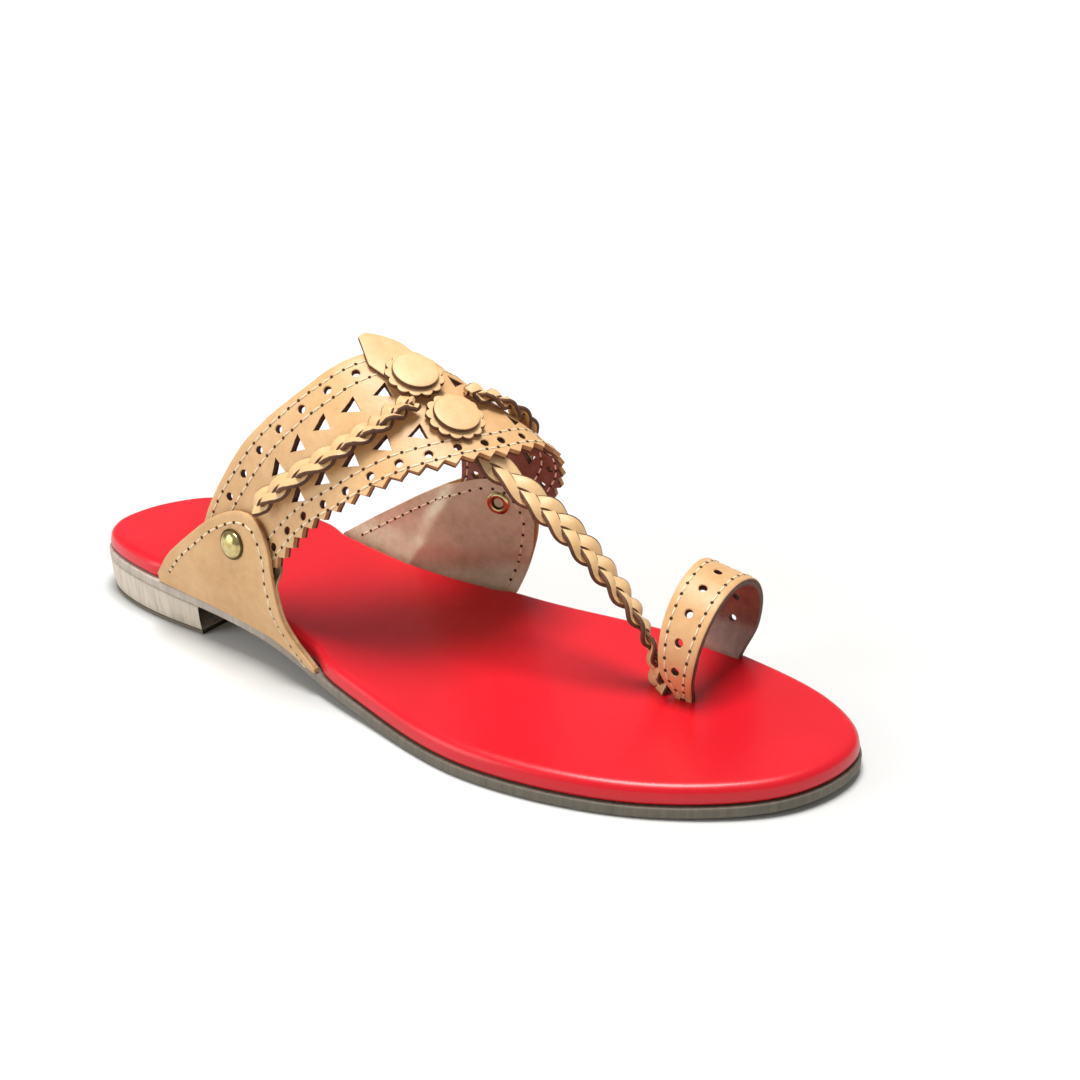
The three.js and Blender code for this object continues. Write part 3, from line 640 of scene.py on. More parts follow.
# %% The last
LAST = [
    {"y": 20, "lateral": 27.8, "medial": -26.8, "crest": 111.8},
    {"y": 40, "lateral": 30.3, "medial": -29.7, "crest": 108.2},
    {"y": 60, "lateral": 31.1, "medial": -29.3, "crest": 103.2},
    {"y": 80, "lateral": 32.5, "medial": -28.5, "crest": 96.7},
    {"y": 100, "lateral": 37.1, "medial": -30.3, "crest": 88.6},
    {"y": 120, "lateral": 42.2, "medial": -35.5, "crest": 79.2},
    {"y": 140, "lateral": 47.1, "medial": -39.3, "crest": 68.3},
    {"y": 160, "lateral": 50.1, "medial": -41.9, "crest": 55.7},
]
LAST_X, LAST_Z = -6.9, 6.0
FULLNESS = {"lateral": 2.17, "medial": 2.67}
BAND_EDGES = [
    {"angle": 20, "rear": 50.0, "front": 73.0}, {"angle": 45, "rear": 57.5, "front": 96.5},
    {"angle": 60, "rear": 68.0, "front": 119.5}, {"angle": 75, "rear": 88.2, "front": 134.5},
    {"angle": 90, "rear": 99.8, "front": 140.9}, {"angle": 105, "rear": 106.8, "front": 142.0},
    {"angle": 120, "rear": 105.5, "front": 139.0}, {"angle": 135, "rear": 96.5, "front": 128.8},
    {"angle": 150, "rear": 92.0, "front": 121.0},
]
station_cache = {}


def station(y):
    """Widths and rise of the last's section at a station, looked up every tenth of a millimetre."""
    key = round(y, 1)
    if key not in station_cache:
        station_cache[key] = tuple(column(LAST, name, key) for name in ("lateral", "medial", "crest"))
    lateral, medial, crest = station_cache[key]
    return lateral - LAST_X, LAST_X - medial, crest - LAST_Z


def last_point(angle, y):
    """A place on the last, at an angle round its axis and a station."""
    c, s = math.cos(math.radians(angle)), math.sin(math.radians(angle))
    lateral, medial, rise = station(y)
    reach, n = (lateral, FULLNESS["lateral"]) if c >= 0 else (medial, FULLNESS["medial"])
    radius = ((abs(c) / reach) ** n + (abs(s) / rise) ** n) ** (-1 / n)
    return Vector((LAST_X + radius * c, y, LAST_Z + radius * s))


print("last at 100 mm: half widths and rise", [round(v, 1) for v in station(100)])

# %% Places on the band
edge_cache = {}


def band_point(angle, across):
    """A place on the band's outer face, from its angle and its share across."""
    key = round(angle, 1)
    if key not in edge_cache:
        edge_cache[key] = tuple(column(BAND_EDGES, name, angle, by="angle") for name in ("rear", "front"))
    rear, front = edge_cache[key]
    return last_point(angle, rear + (front - rear) * across)


def band_frame(angle, across):
    """A place on the band: the point, one step of the angle, one step across, and the way out."""
    over = band_point(angle + 0.25, across) - band_point(angle - 0.25, across)
    forward = band_point(angle, across + 0.01) - band_point(angle, across - 0.01)
    return band_point(angle, across), over / 0.5, forward / 0.02, forward.cross(over).normalized()


def on_band(angle, across, out=0.0):
    """A place at a height over the band."""
    point, _, _, normal = band_frame(angle, across)
    return point + normal * out


print("crest of the band at its middle:", [round(v, 1) for v in band_point(90, 0.5)])

# %% [markdown]
# ## Marking out the band
# Rows of holes run round the band at an even pitch. To step evenly, a row is walked in short steps and its
# length added up. Holes must stay round on the curved leather, so each outline is drawn in millimetres
# in the plane that touches the band there, and turned back into angle and share across.

# %% Rows on the band
MIDDLE = 86.5


def mirrored(rows):
    """A row of places given for the outer side, carried over the crest to the inner side."""
    inner = [{"angle": 2 * MIDDLE - row["angle"], "across": row["across"]} for row in reversed(rows)]
    return rows + inner


# where each row of holes and triangles lies, as share across the band
REAR_HOLES = mirrored([{"angle": 38, "across": 0.15}, {"angle": 50, "across": 0.135},
                       {"angle": 79, "across": 0.13}])
FRONT_HOLES = mirrored([{"angle": 38, "across": 0.80}, {"angle": 49, "across": 0.83},
                        {"angle": 56, "across": 0.885}, {"angle": 79, "across": 0.905}])
REAR_TRIANGLES = mirrored([{"angle": 50, "across": 0.33}, {"angle": 79, "across": 0.345}])
FRONT_TRIANGLES = mirrored([{"angle": 46, "across": 0.60}, {"angle": 52.3, "across": 0.625},
                            {"angle": 57.8, "across": 0.675}, {"angle": 63.5, "across": 0.715},
                            {"angle": 79, "across": 0.73}])


def real_offset(angle, across, right, ahead):
    """The angle and share across of a spot a few millimetres from another, measured on the leather."""
    _, over, forward, normal = band_frame(angle, across)
    along = over.normalized()
    square = along.cross(normal)
    step_across = ahead / forward.dot(square)
    step_angle = (right - step_across * forward.dot(along)) / over.length
    return angle + step_angle, across + step_across


def row_spot(rows, angle, ahead=0.0):
    """A spot on a row, or on the line that runs beside it at a distance."""
    across = column(rows, "across", angle, by="angle")
    if not ahead:
        return angle, across
    later, earlier = (column(rows, "across", angle + step, by="angle") for step in (0.5, -0.5))
    slant = later - earlier
    way = (on_band(angle + 0.5, across + slant / 2) - on_band(angle - 0.5, across - slant / 2)).normalized()
    _, over, forward, normal = band_frame(angle, across)
    along = over.normalized()
    square = along.cross(normal)
    beside = way.cross(normal).normalized()
    return real_offset(angle, across, ahead * beside.dot(along), ahead * beside.dot(square))


print("rows marked from", REAR_HOLES[0]["angle"], "to", REAR_HOLES[-1]["angle"], "degrees")

# %% Stepping along a row


def walk(place, start, stop, pitch, first=0.0, steps=500):
    """Settings of a curve at an even pitch, from a first distance on."""
    settings, length, target = [], 0.0, first
    before = place(start)
    for i in range(1, steps + 1):
        t = start + (stop - start) * i / steps
        here = place(t)
        stride = (here - before).length
        while length + stride >= target:
            settings.append(t - (stop - start) / steps * (length + stride - target) / max(stride, 1e-9))
            target += pitch
        length += stride
        before = here
    return settings


def both_ways(rows, pitch, first, lateral_end, medial_end):
    """Angles at an even pitch from the band's middle down both sides."""
    def place(angle):
        return on_band(*row_spot(rows, angle))
    return (walk(place, MIDDLE, lateral_end, pitch, first)
            + walk(place, MIDDLE, medial_end, pitch, first))


HOLE_PITCH, FRONT_HOLE_PITCH, TRIANGLE_PITCH = 9.1, 8.4, 10.5
rear_hole_angles = both_ways(REAR_HOLES, HOLE_PITCH, 2.4, 36, 133)
front_hole_angles = both_ways(FRONT_HOLES, FRONT_HOLE_PITCH, 2.9, 36, 134)
rear_triangle_angles = both_ways(REAR_TRIANGLES, TRIANGLE_PITCH, 12.0, 56, 124)
front_triangle_angles = both_ways(FRONT_TRIANGLES, TRIANGLE_PITCH, 16.5, 50, 125)
print("rear holes", [round(a, 1) for a in rear_hole_angles])
print("front holes", [round(a, 1) for a in front_hole_angles])
print("triangles", [round(a, 1) for a in rear_triangle_angles + front_triangle_angles])

# %% [markdown]
# ## Cutting the band
# Punches go through flat leather: a grid slab is the strap before it is lasted, prisms are the punches,
# and one exact boolean cuts every hole. Each punch widens at the very top, which leaves the small
# chamfer that catches the light. The slab is then bent by moving each vertex to its place on the last.

# %% Flat leather and punches
DEGREE_MM, ACROSS_MM = 1.35, 42.0
BAND_FROM, BAND_TO = 31.0, 146.0
OUTER_THICK, LINING_THICK = 1.25, 0.7
PUNCH_CHAMFER, PUNCH_PROUD = 0.22, 0.4


def flat(angle, across):
    """A place on the band as a place on the bench."""
    return (angle - BAND_FROM) * DEGREE_MM, across * ACROSS_MM


def punch(bm, outline_flat, low, high):
    """A prism through the flat leather that widens just under its upper face."""
    middle = Vector((sum(p[0] for p in outline_flat), sum(p[1] for p in outline_flat))) / len(outline_flat)
    rings = []
    for height, grow in ((low, 0), (high - PUNCH_CHAMFER, 0),
                         (high + PUNCH_PROUD, PUNCH_CHAMFER + PUNCH_PROUD)):
        ring = []
        for p in outline_flat:
            arm = Vector(p) - middle
            spot = middle + arm * (1 + grow / arm.length)
            ring.append((spot.x, spot.y, height))
        rings.append(ring)
    made = loft(bm, rings, flat_frame=True)
    for ring in (made[0], made[-1]):
        bmesh.ops.contextual_create(bm, geom=ring)


def ring_of(radius, count=16):
    """The outline of a round punch."""
    return [(radius * math.cos(2 * math.pi * k / count), radius * math.sin(2 * math.pi * k / count))
            for k in range(count)]


def flat_slab(length, width, bottom, top, across_rows, along_rows, bevel=0.3):
    """A slab of leather on the bench, as a bmesh, with its upper edges rounded."""
    bm = bmesh.new()
    bmesh.ops.create_grid(bm, x_segments=along_rows, y_segments=across_rows, size=0.5)
    for vert in bm.verts:
        vert.co = Vector(((vert.co.x + 0.5) * length, (vert.co.y + 0.5) * width, bottom))
    grown = bmesh.ops.extrude_face_region(bm, geom=bm.faces[:])["geom"]
    for vert in (g for g in grown if isinstance(g, bmesh.types.BMVert)):
        vert.co.z = top
    bmesh.ops.recalc_face_normals(bm, faces=bm.faces)
    bm.normal_update()
    rim = [e for e in bm.edges if all(v.co.z > top - 1e-6 for v in e.verts)
           and abs(e.calc_face_angle(0)) > 0.5]
    bmesh.ops.bevel(bm, geom=rim, offset=bevel, segments=2, profile=0.5, affect="EDGES", material=-1)
    return bm


print("band on the bench:", (BAND_TO - BAND_FROM) * DEGREE_MM, "by", ACROSS_MM, "mm")

# %% Cutting and bending
CUT_SIDE = 0.35


def cut_flat(slab, punches, name):
    """The slab with the punches cut out of it, as a new bmesh."""
    piece, tool = to_object(slab, name + "_blank"), to_object(punches, name + "_punches")
    cutter = piece.modifiers.new("punch", "BOOLEAN")
    cutter.operation, cutter.solver, cutter.object = "DIFFERENCE", "EXACT", tool
    seen = piece.evaluated_get(bpy.context.evaluated_depsgraph_get())
    bm = bmesh.new()
    bm.from_mesh(seen.to_mesh())
    seen.to_mesh_clear()
    bpy.data.objects.remove(piece)
    bpy.data.objects.remove(tool)
    bmesh.ops.remove_doubles(bm, verts=bm.verts, dist=0.001)
    bm.normal_update()
    return bm


def bend(bm, place, name, materials, rim=None):
    """Bends flat leather over the last. Cut sides get the edge material, outer rims a third one."""
    bm.normal_update()
    for face in bm.faces:
        cut_side = abs(face.normal.z) < CUT_SIDE
        on_rim = rim is not None and rim(face.calc_center_median())
        face.material_index = (2 if on_rim else 1) if cut_side else 0
    mark_folds(bm, 25)
    for vert in bm.verts:
        vert.co = metres(place(*vert.co))
    bm.normal_update()
    bmesh.ops.recalc_face_normals(bm, faces=bm.faces)
    return to_object(bm, name, materials)


def band_place(x, y, z):
    """A place on the bench as a place on the last."""
    return on_band(BAND_FROM + x / DEGREE_MM, y / ACROSS_MM, z)


print("one degree round the last is", DEGREE_MM, "mm on the bench")

# %% [markdown]
# ### The instep band
# The outer leather is tan and the lining dark brown. Both are cut with the same punches, 2.4 mm round
# holes and triangles with 5.2 mm sides, and the front edge is pinked: cut to a zigzag with 5.2 mm teeth.

# %% The band's punches
HOLE_RADIUS, TOOTH_PITCH, TOOTH_DEPTH, TOOTH_TIP = 1.2, 5.2, 2.0, 1.018
TRIANGLE_HALF = 2.6
TRIANGLE = [(-1.155 * TRIANGLE_HALF, 0), (0.577 * TRIANGLE_HALF, -TRIANGLE_HALF),
            (0.577 * TRIANGLE_HALF, TRIANGLE_HALF)]


def band_punches(low, high):
    """Every round and triangular punch of the band, in one bmesh."""
    bm = bmesh.new()

    def stamp(rows, angles, shape):
        for angle in angles:
            spot = row_spot(rows, angle)
            hand = 1 if angle < MIDDLE else -1
            punch(bm, [flat(*real_offset(*spot, hand * dx, dy)) for dx, dy in shape], low, high)

    stamp(REAR_HOLES, rear_hole_angles, ring_of(HOLE_RADIUS))
    stamp(FRONT_HOLES, front_hole_angles, ring_of(HOLE_RADIUS))
    stamp(REAR_TRIANGLES, rear_triangle_angles, TRIANGLE)
    stamp(FRONT_TRIANGLES, front_triangle_angles, TRIANGLE)
    return bm


def pinked_edge(bm, low, high):
    """One long prism whose side is the zigzag of the pinking wheel."""
    teeth = walk(lambda a: on_band(a, TOOTH_TIP), BAND_FROM - 4, BAND_TO + 4, TOOTH_PITCH / 2)
    zigzag = []
    for k, angle in enumerate(teeth):
        depth = TOOTH_DEPTH if k % 2 else 0.0
        zigzag.append(flat(*real_offset(angle, TOOTH_TIP, 0, -depth)))
    loop = zigzag + [(zigzag[-1][0] + 5, ACROSS_MM * 1.3), (zigzag[0][0] - 5, ACROSS_MM * 1.3)]
    rings = [[(x, y, z) for x, y in loop] for z in (low, high)]
    made = loft(bm, rings, flat_frame=True)
    for ring in made:
        bmesh.ops.contextual_create(bm, geom=ring)
    return len(teeth) // 2


print("triangles with", 2 * TRIANGLE_HALF, "mm sides, holes of", 2 * HOLE_RADIUS, "mm")

# %% Band leather and lining


def on_band_rim(spot):
    """Whether a cut side is on the strap's own edge and not in a hole."""
    return not 0.5 < spot.y < ACROSS_MM * 0.955


def band_layer(name, bottom, top, materials, bevel):
    """One leather of the band: cut on the bench and bent over the last."""
    slab = flat_slab((BAND_TO - BAND_FROM) * DEGREE_MM, ACROSS_MM * 1.06, bottom, top, 26, 100, bevel)
    tools = band_punches(bottom - 1, top)
    count = pinked_edge(tools, bottom - 1, top + 1)
    bmesh.ops.recalc_face_normals(tools, faces=tools.faces)
    piece = bend(cut_flat(slab, tools, name), band_place, name, materials, on_band_rim)
    print(name, "has", count, "teeth and", len(piece.data.vertices), "vertices")
    return piece


band = band_layer("instep_band_leather", -OUTER_THICK, 0.0, [tan, raw_edge, pale_edge], 0.3)
belongs(band, "upper_leather", "upper_band")
band_lining = band_layer("instep_band_lining", -OUTER_THICK - LINING_THICK, -OUTER_THICK - 0.02,
                         [brown_lining, raw_edge, raw_edge], 0.05)
belongs(band_lining, "lining_leather")

# %% [markdown]
# ## Side wings
# A wing is a flap of the same hide, cut to a leaf shape, that comes up out of the sole and covers the
# end of the band. Its edge is a smooth curve given by height along the foot. The flap hangs between that
# edge and the sole, pulled in a little at the bottom. Its lining goes under the band's end, so the
# band is held between two leathers, and a soft ridge shows on the inside where the lining changes side.

# %% Wing surface
WING_EDGES = {
    "lateral": [(34.4, 17.0), (41.8, 25.1), (51.6, 34.0), (61.5, 41.7), (71.5, 46.0), (79.5, 44.6),
                (84.6, 38.1), (86.6, 31.8), (90.0, 22.9), (95.4, 14.6), (103.2, 8.5)],
    "medial": [(58.5, 15.2), (68.0, 21.6), (79.0, 28.6), (91.0, 36.0), (103.3, 42.6), (113.5, 46.0),
               (121.5, 44.4), (126.6, 37.0), (126.9, 29.0), (124.6, 19.5), (121.0, 8.6)],
}
WING_TUCK, TUCK_RISE = {"lateral": 3.2, "medial": 2.5}, 14.0
WING_SEAT, WING_LINING, WING_THICK = 0.45, 0.6, 1.7
UNDER_BAND, COVER_MM = 2.45, 7.0
WING_LENGTH, WING_HEIGHT = 100.0, 34.0


def wall_point(side, y, z):
    """A place on the flank of the last, tucked in towards the sole."""
    lateral, medial, rise = station(y)
    reach, n = (lateral, FULLNESS[side]) if side == "lateral" else (-medial, FULLNESS[side])
    share = max(z - LAST_Z, 0.0) / rise
    tuck = WING_TUCK[side] * (1 - smoothstep((z - outsole_top(y)) / TUCK_RISE))
    return Vector((LAST_X + reach * (1 - share ** n) ** (1 / n) - math.copysign(tuck, reach), y, z))


def wing_point(side, u, v):
    """The wing's middle surface: u along its edge from the heel side, v from the sole up to the edge."""
    back, front = WING_FOOT[side]
    y, z = spline(WING_EDGES[side], u)
    start = back + (front - back) * u
    base = outsole_top(start) + WING_SEAT
    return wall_point(side, start + (y - start) * v, base + (z - base) * v)


def wing_frame(side, u, v):
    """A place on a wing, the ways along its edge and up it, and the way out."""
    point = wing_point(side, u, v)
    low, high = max(u - 0.01, 0.0), min(u + 0.01, 1.0)
    along = (wing_point(side, high, v) - wing_point(side, low, v)) / (high - low)
    up = (wing_point(side, u, v + 0.01) - wing_point(side, u, v - 0.01)) / 0.02
    lift_y = wall_point(side, point.y + 0.5, point.z) - wall_point(side, point.y - 0.5, point.z)
    lift_z = wall_point(side, point.y, point.z + 0.5) - wall_point(side, point.y, point.z - 0.5)
    out = lift_y.cross(lift_z).normalized()
    return point, along, up, out if side == "lateral" else -out


print("top of the lateral wing:", [round(v, 1) for v in wing_point("lateral", 0.45, 1.0)])

# %% Wings


def covers_band(point):
    """1 where the wing lies over the band's end, 0 beyond it, with a soft change between."""
    angle = math.degrees(math.atan2(point.z - LAST_Z, point.x - LAST_X))
    held = min(max(angle, BAND_EDGES[0]["angle"]), BAND_EDGES[-1]["angle"])
    rear, front = (column(BAND_EDGES, name, held, by="angle") for name in ("rear", "front"))
    arm = math.hypot(point.x - LAST_X, point.z - LAST_Z)
    past = [rear - point.y, point.y - front, math.radians(BAND_FROM - angle) * arm,
            math.radians(angle - BAND_TO) * arm]
    return 1 - smoothstep((max(past) - 0.5) / COVER_MM)


def wing_place(side, under_band):
    """Bench to wing; the lining goes under the band's end and the leather over it."""
    def place(x, y, z):
        point, _, _, out = wing_frame(side, x / WING_LENGTH, y / WING_HEIGHT)
        sink = covers_band(point) * (WING_SEAT + UNDER_BAND) if under_band else 0.0
        return point + out * (z - sink)
    return place


for side in ("lateral", "medial"):
    for layer, under_band, materials, slot, bottom, top, bevel in (
            ("leather", False, [tan, pale_edge], "upper_leather",
             WING_SEAT + WING_LINING, WING_SEAT + WING_THICK, 0.35),
            ("lining", True, [taupe_lining, pale_edge], "lining_leather",
             WING_SEAT, WING_SEAT + WING_LINING - 0.03, 0.1)):
        slab = flat_slab(WING_LENGTH, WING_HEIGHT, bottom, top, 22, 72, bevel)
        piece = bend(slab, wing_place(side, under_band), f"wing_{side}_{layer}", materials)
        belongs(piece, slot, *([f"wing_{side}"] if layer == "leather" else []))

# %% [markdown]
# ## Rivets and eyelets
# Each wing is clenched to the band by a brass rivet: a spun cap outside and a rolled eyelet inside.
# Both are turned shapes, so a half section is spun round the rivet's own axis.

# %% Rivets
RIVETS = {"lateral": (70.3, 36.1), "medial": (116.5, 38.5)}
CAP_RIM, CAP_FOOT, EYELET_MOUTH = 3.9, 0.5, 1.9
# half sections, as radius and height; the cap's rim and foot and the eyelet's mouth are tarnished
CAP = [(1.5, -0.9), (1.5, 0.0), (4.5, 0.0), (4.5, 0.3), (4.1, 0.55), (3.95, 0.5), (3.85, 0.72), (3.4, 1.2),
       (2.7, 1.62), (1.8, 1.9), (0.9, 2.02), (0.0, 2.06)]
EYELET = [(1.5, 0.6), (1.5, 0.0), (3.4, 0.0), (3.6, -0.25), (3.55, -0.6), (3.2, -0.85), (2.6, -0.95),
          (2.0, -0.8), (1.75, -0.4), (1.7, 0.1), (0.9, 0.3), (0.0, 0.32)]


def spun(bm, section, centre, out, segments=32):
    """Spins a half section, given as radius and height, round the axis out through a centre."""
    turn = Vector((0, 0, 1)).rotation_difference(out).to_matrix()
    start = [bm.verts.new(metres(centre + turn @ Vector((r, 0, h)))) for r, h in section]
    edges = [bm.edges.new(pair) for pair in zip(start, start[1:])]
    bmesh.ops.spin(bm, geom=start + edges, cent=metres(centre), axis=out, angle=2 * math.pi, steps=segments,
                   use_merge=True, use_duplicate=False)


def rivet_frame(side):
    """Where a rivet goes through its wing, and the way out."""
    y, z = RIVETS[side]
    point = wall_point(side, y, z)
    lift_y = wall_point(side, y + 1, z) - wall_point(side, y - 1, z)
    lift_z = wall_point(side, y, z + 1) - wall_point(side, y, z - 1)
    out = lift_y.cross(lift_z).normalized()
    return point, out if side == "lateral" else -out


for side in RIVETS:
    centre, out = rivet_frame(side)
    for part, section, lift in (("cap", CAP, WING_SEAT + WING_THICK + 0.1), ("eyelet", EYELET, -2.5)):
        bm = bmesh.new()
        closed = section + [(0.0, section[0][1]), section[0]]
        spun(bm, closed, centre + out * lift, out)
        bmesh.ops.remove_doubles(bm, verts=bm.verts, dist=0.01 * MM)
        bmesh.ops.recalc_face_normals(bm, faces=bm.faces)
        piece = finish_mesh(bm, f"rivet_{side}_{part}", [brass_metal, dark_brass], sharp=40)
        for face in piece.data.polygons:
            reach = (face.center - metres(centre)).cross(out).length / MM
            height = (face.center - metres(centre)).dot(out) / MM - lift
            dark = (reach > CAP_RIM or height < CAP_FOOT) if part == "cap" else reach < EYELET_MOUTH
            face.material_index = 1 if dark else 0
        belongs(piece, "brass", *([f"rivet_{side}"] if part == "cap" else []))

# %% [markdown]
# ## Plaits
# A flat plait of three strips: each strip swings from side to side and dips under and over its two
# neighbours, a third of a turn apart. Sideways it is a sine, up and down a sine at twice the speed, and it
# leans as it crosses. A strip's cross-section is swept along that path by extruding a small ring. The
# strips are skived dark at their cut sides, which draws the herringbone.

# %% Plaits
PLAIT_DIP, PLAIT_LEAN, STRIP_THICK = 0.85, 15.0, 1.25
STRIP_SECTION = [(-0.5, -0.3), (-0.42, -0.5), (0.42, -0.5), (0.5, -0.3), (0.5, 0.3), (0.4, 0.5), (0.0, 0.56),
                 (-0.4, 0.5), (-0.5, 0.3)]
STRIP_SHARE, STEPS_PER_MM = 0.49, 1.6
CUT_SIDES = (0, 2, 3, 4, 7, 8)      # the sides of the section that are dark


def plait(name, frame_at, length, period, width):
    """Three strips woven along a path; frame_at(share) gives the centre, the side and the face direction."""
    bm = bmesh.new()
    strip = width * STRIP_SHARE
    swing = (width - strip) / 2
    steps = round(length * STEPS_PER_MM)

    def strand(share, phase):
        centre, side, face = frame_at(share)
        theta = 2 * math.pi * (share * length / period) + phase
        return (centre + side * swing * math.sin(theta) + face * PLAIT_DIP * math.sin(2 * theta),
                side, face, math.radians(PLAIT_LEAN) * math.cos(theta))

    for k in range(3):
        phase = 2 * math.pi * k / 3
        rings = []
        for i in range(steps + 1):
            share = i / steps
            centre, side, face, lean = strand(share, phase)
            after, before = (strand(min(max(share + d / steps, 0), 1), phase)[0] for d in (0.5, -0.5))
            ahead = (after - before).normalized()
            wide = (side - ahead * side.dot(ahead)).normalized()
            up = wide.cross(ahead) if wide.cross(ahead).dot(face) > 0 else ahead.cross(wide)
            tilt = wide * math.cos(lean) + up * math.sin(lean)
            rise = up * math.cos(lean) - wide * math.sin(lean)
            rings.append([centre + tilt * a * strip + rise * b * STRIP_THICK for a, b in STRIP_SECTION])
        made = loft(bm, rings)
        for ring in (made[0], made[-1]):
            bmesh.ops.contextual_create(bm, geom=ring)
        sides = len(STRIP_SECTION)
        for low, high in zip(made, made[1:]):
            for j in CUT_SIDES:
                pair = {low[j], low[(j + 1) % sides], high[j], high[(j + 1) % sides]}
                for face in low[j].link_faces:
                    if set(face.verts) == pair:
                        face.material_index = 1
    bmesh.ops.recalc_face_normals(bm, faces=bm.faces)
    return finish_mesh(bm, name, [tan_bright, raw_edge], sharp=70)


print("a strip is", STRIP_THICK, "mm thick")

# %% Plaits on the band
LATERAL_PLAIT = [{"angle": 50.5, "across": 0.435}, {"angle": 53.5, "across": 0.465},
                 {"angle": 57.0, "across": 0.525}, {"angle": 64.0, "across": 0.62},
                 {"angle": 70.0, "across": 0.61}, {"angle": 75.0, "across": 0.56},
                 {"angle": 79.5, "across": 0.53}]
MEDIAL_PLAIT = [{"angle": 91.8, "across": 0.53}, {"angle": 101.0, "across": 0.60},
                {"angle": 108.0, "across": 0.62}, {"angle": 114.0, "across": 0.57},
                {"angle": 119.5, "across": 0.50}]
PLAIT_SEAT, PLAIT_THICK = 0.8, 3.0


def band_plait_frame(rows, tip):
    """Frames along a plait on the band; tip is how far its front side is raised, in degrees."""
    first, last = rows[0]["angle"], rows[-1]["angle"]

    def centre(angle):
        return band_frame(angle, column(rows, "across", angle, by="angle"))

    def frame(share):
        angle = first + (last - first) * share
        point, _, _, face = centre(angle)
        along = (centre(angle + 0.3)[0] - centre(angle - 0.3)[0]).normalized()
        side = Quaternion(along, math.radians(-tip)) @ face.cross(along).normalized()
        return point + face * (PLAIT_SEAT + PLAIT_THICK / 2), side, along.cross(side)
    return frame


print("lateral plait from", LATERAL_PLAIT[0]["angle"], "to", LATERAL_PLAIT[-1]["angle"], "degrees")

# %% Toe plait, and all three woven
# x, y, z, and how far the plait is rolled round its own line, in degrees
TOE_PLAIT = [
    (-1.0, 120.0, 74.0, -12), (-1.2, 129.0, 69.3, -14), (-1.6, 138.4, 63.7, -16), (-2.5, 148.6, 57.4, -19),
    (-3.2, 156.3, 52.6, -20), (-3.9, 163.6, 47.0, -14), (-4.4, 170.0, 41.1, -2), (-4.9, 176.3, 35.0, 10),
    (-5.6, 181.3, 28.6, 24), (-6.6, 184.5, 22.0, 37), (-7.5, 186.3, 15.5, 50), (-7.9, 187.4, 9.5, 62),
    (-8.0, 187.6, 4.0, 70),
]


def toe_plait_frame(share):
    """Frames along the plait that runs down between the toes."""
    x, y, z, roll = spline(TOE_PLAIT, share)
    before, after = spline(TOE_PLAIT, share - 0.005)[:3], spline(TOE_PLAIT, share + 0.005)[:3]
    along = (Vector(after) - Vector(before)).normalized()
    level = (Vector((-1, 0, 0)) + along * along.x).normalized()
    side = Quaternion(along, -math.radians(roll)) @ level
    return Vector((x, y, z)), side, along.cross(side).normalized()


def path_length(place, steps=60):
    """Length of a plait's middle line."""
    points = [place(i / steps)[0] for i in range(steps + 1)]
    return sum((b - a).length for a, b in zip(points, points[1:]))


for name, frame_at, period, width in (("plait_lateral", band_plait_frame(LATERAL_PLAIT, 28), 20.0, 7.6),
                                      ("plait_medial", band_plait_frame(MEDIAL_PLAIT, 6), 20.0, 7.4),
                                      ("toe_plait", toe_plait_frame, 21.0, 8.8)):
    length = path_length(frame_at)
    belongs(plait(name + "_woven", frame_at, length, period, width), "upper_leather", name)
    print(name, "is", round(length, 1), "mm long")

# %% [markdown]
# ## Rosettes, buttons and the tab
# On the crest two rosettes are cut with a scalloped punch, and a plain round button sits on each. They are
# drawn as rings: up the dark cut edge, over a small rounded shoulder and in to the middle. The tab is
# a pointed tongue of paler hide that stands out behind the band.

# %% Crest ornaments
ROSETTE_RADIUS, BUTTON_RADIUS, DISC_THICK = 8.4, 6.5, 1.3
SCALLOPS, SCALLOP_DEPTH, SCALLOP_STEPS, SCALLOP_FADE = 13, 1.1, 10, 2.5


def disc(name, seat, face, radius_at, count, dome):
    """A leather disc with a dark cut edge and a rounded shoulder, slightly domed."""
    turn = Vector((0, 0, 1)).rotation_difference(face).to_matrix()
    rows = [(-2.5, 0), (-0.15, 0), (0, 0.12), (0, DISC_THICK - 0.35), (-0.1, DISC_THICK - 0.12),
            (-0.4, DISC_THICK), (-1.0, DISC_THICK + dome * 0.4), (-2.5, DISC_THICK + dome),
            (-5.0, DISC_THICK + dome * 1.1)]
    rings = []
    for inset, height in rows:
        ring = []
        for k in range(count):
            around = 2 * math.pi * k / count
            radius = radius_at(around, min(max(1 + inset / SCALLOP_FADE, 0), 1)) + inset
            ring.append(seat + turn @ Vector((radius * math.cos(around), radius * math.sin(around), height)))
        rings.append(ring)
    bm = bmesh.new()
    made = loft(bm, rings)
    for ring in (made[0], made[-1]):
        bmesh.ops.contextual_create(bm, geom=ring)
    bmesh.ops.recalc_face_normals(bm, faces=bm.faces)
    for low, high in zip(made[1:4], made[2:5]):
        band_verts = set(low) | set(high)
        for edge_face in {f for v in low for f in v.link_faces if set(f.verts) <= band_verts}:
            edge_face.material_index = 1
    return finish_mesh(bm, name, [tan_bright, raw_edge], sharp=50)


def scalloped(around, share):
    """Radius of the scalloped rim, whose scallops fade as share goes from 1 to 0."""
    return ROSETTE_RADIUS - SCALLOP_DEPTH * share * (1 - abs(math.sin(SCALLOPS * around / 2)) ** 0.8)


def plain_round(around, share):
    """Radius of a button, the same all round."""
    return BUTTON_RADIUS


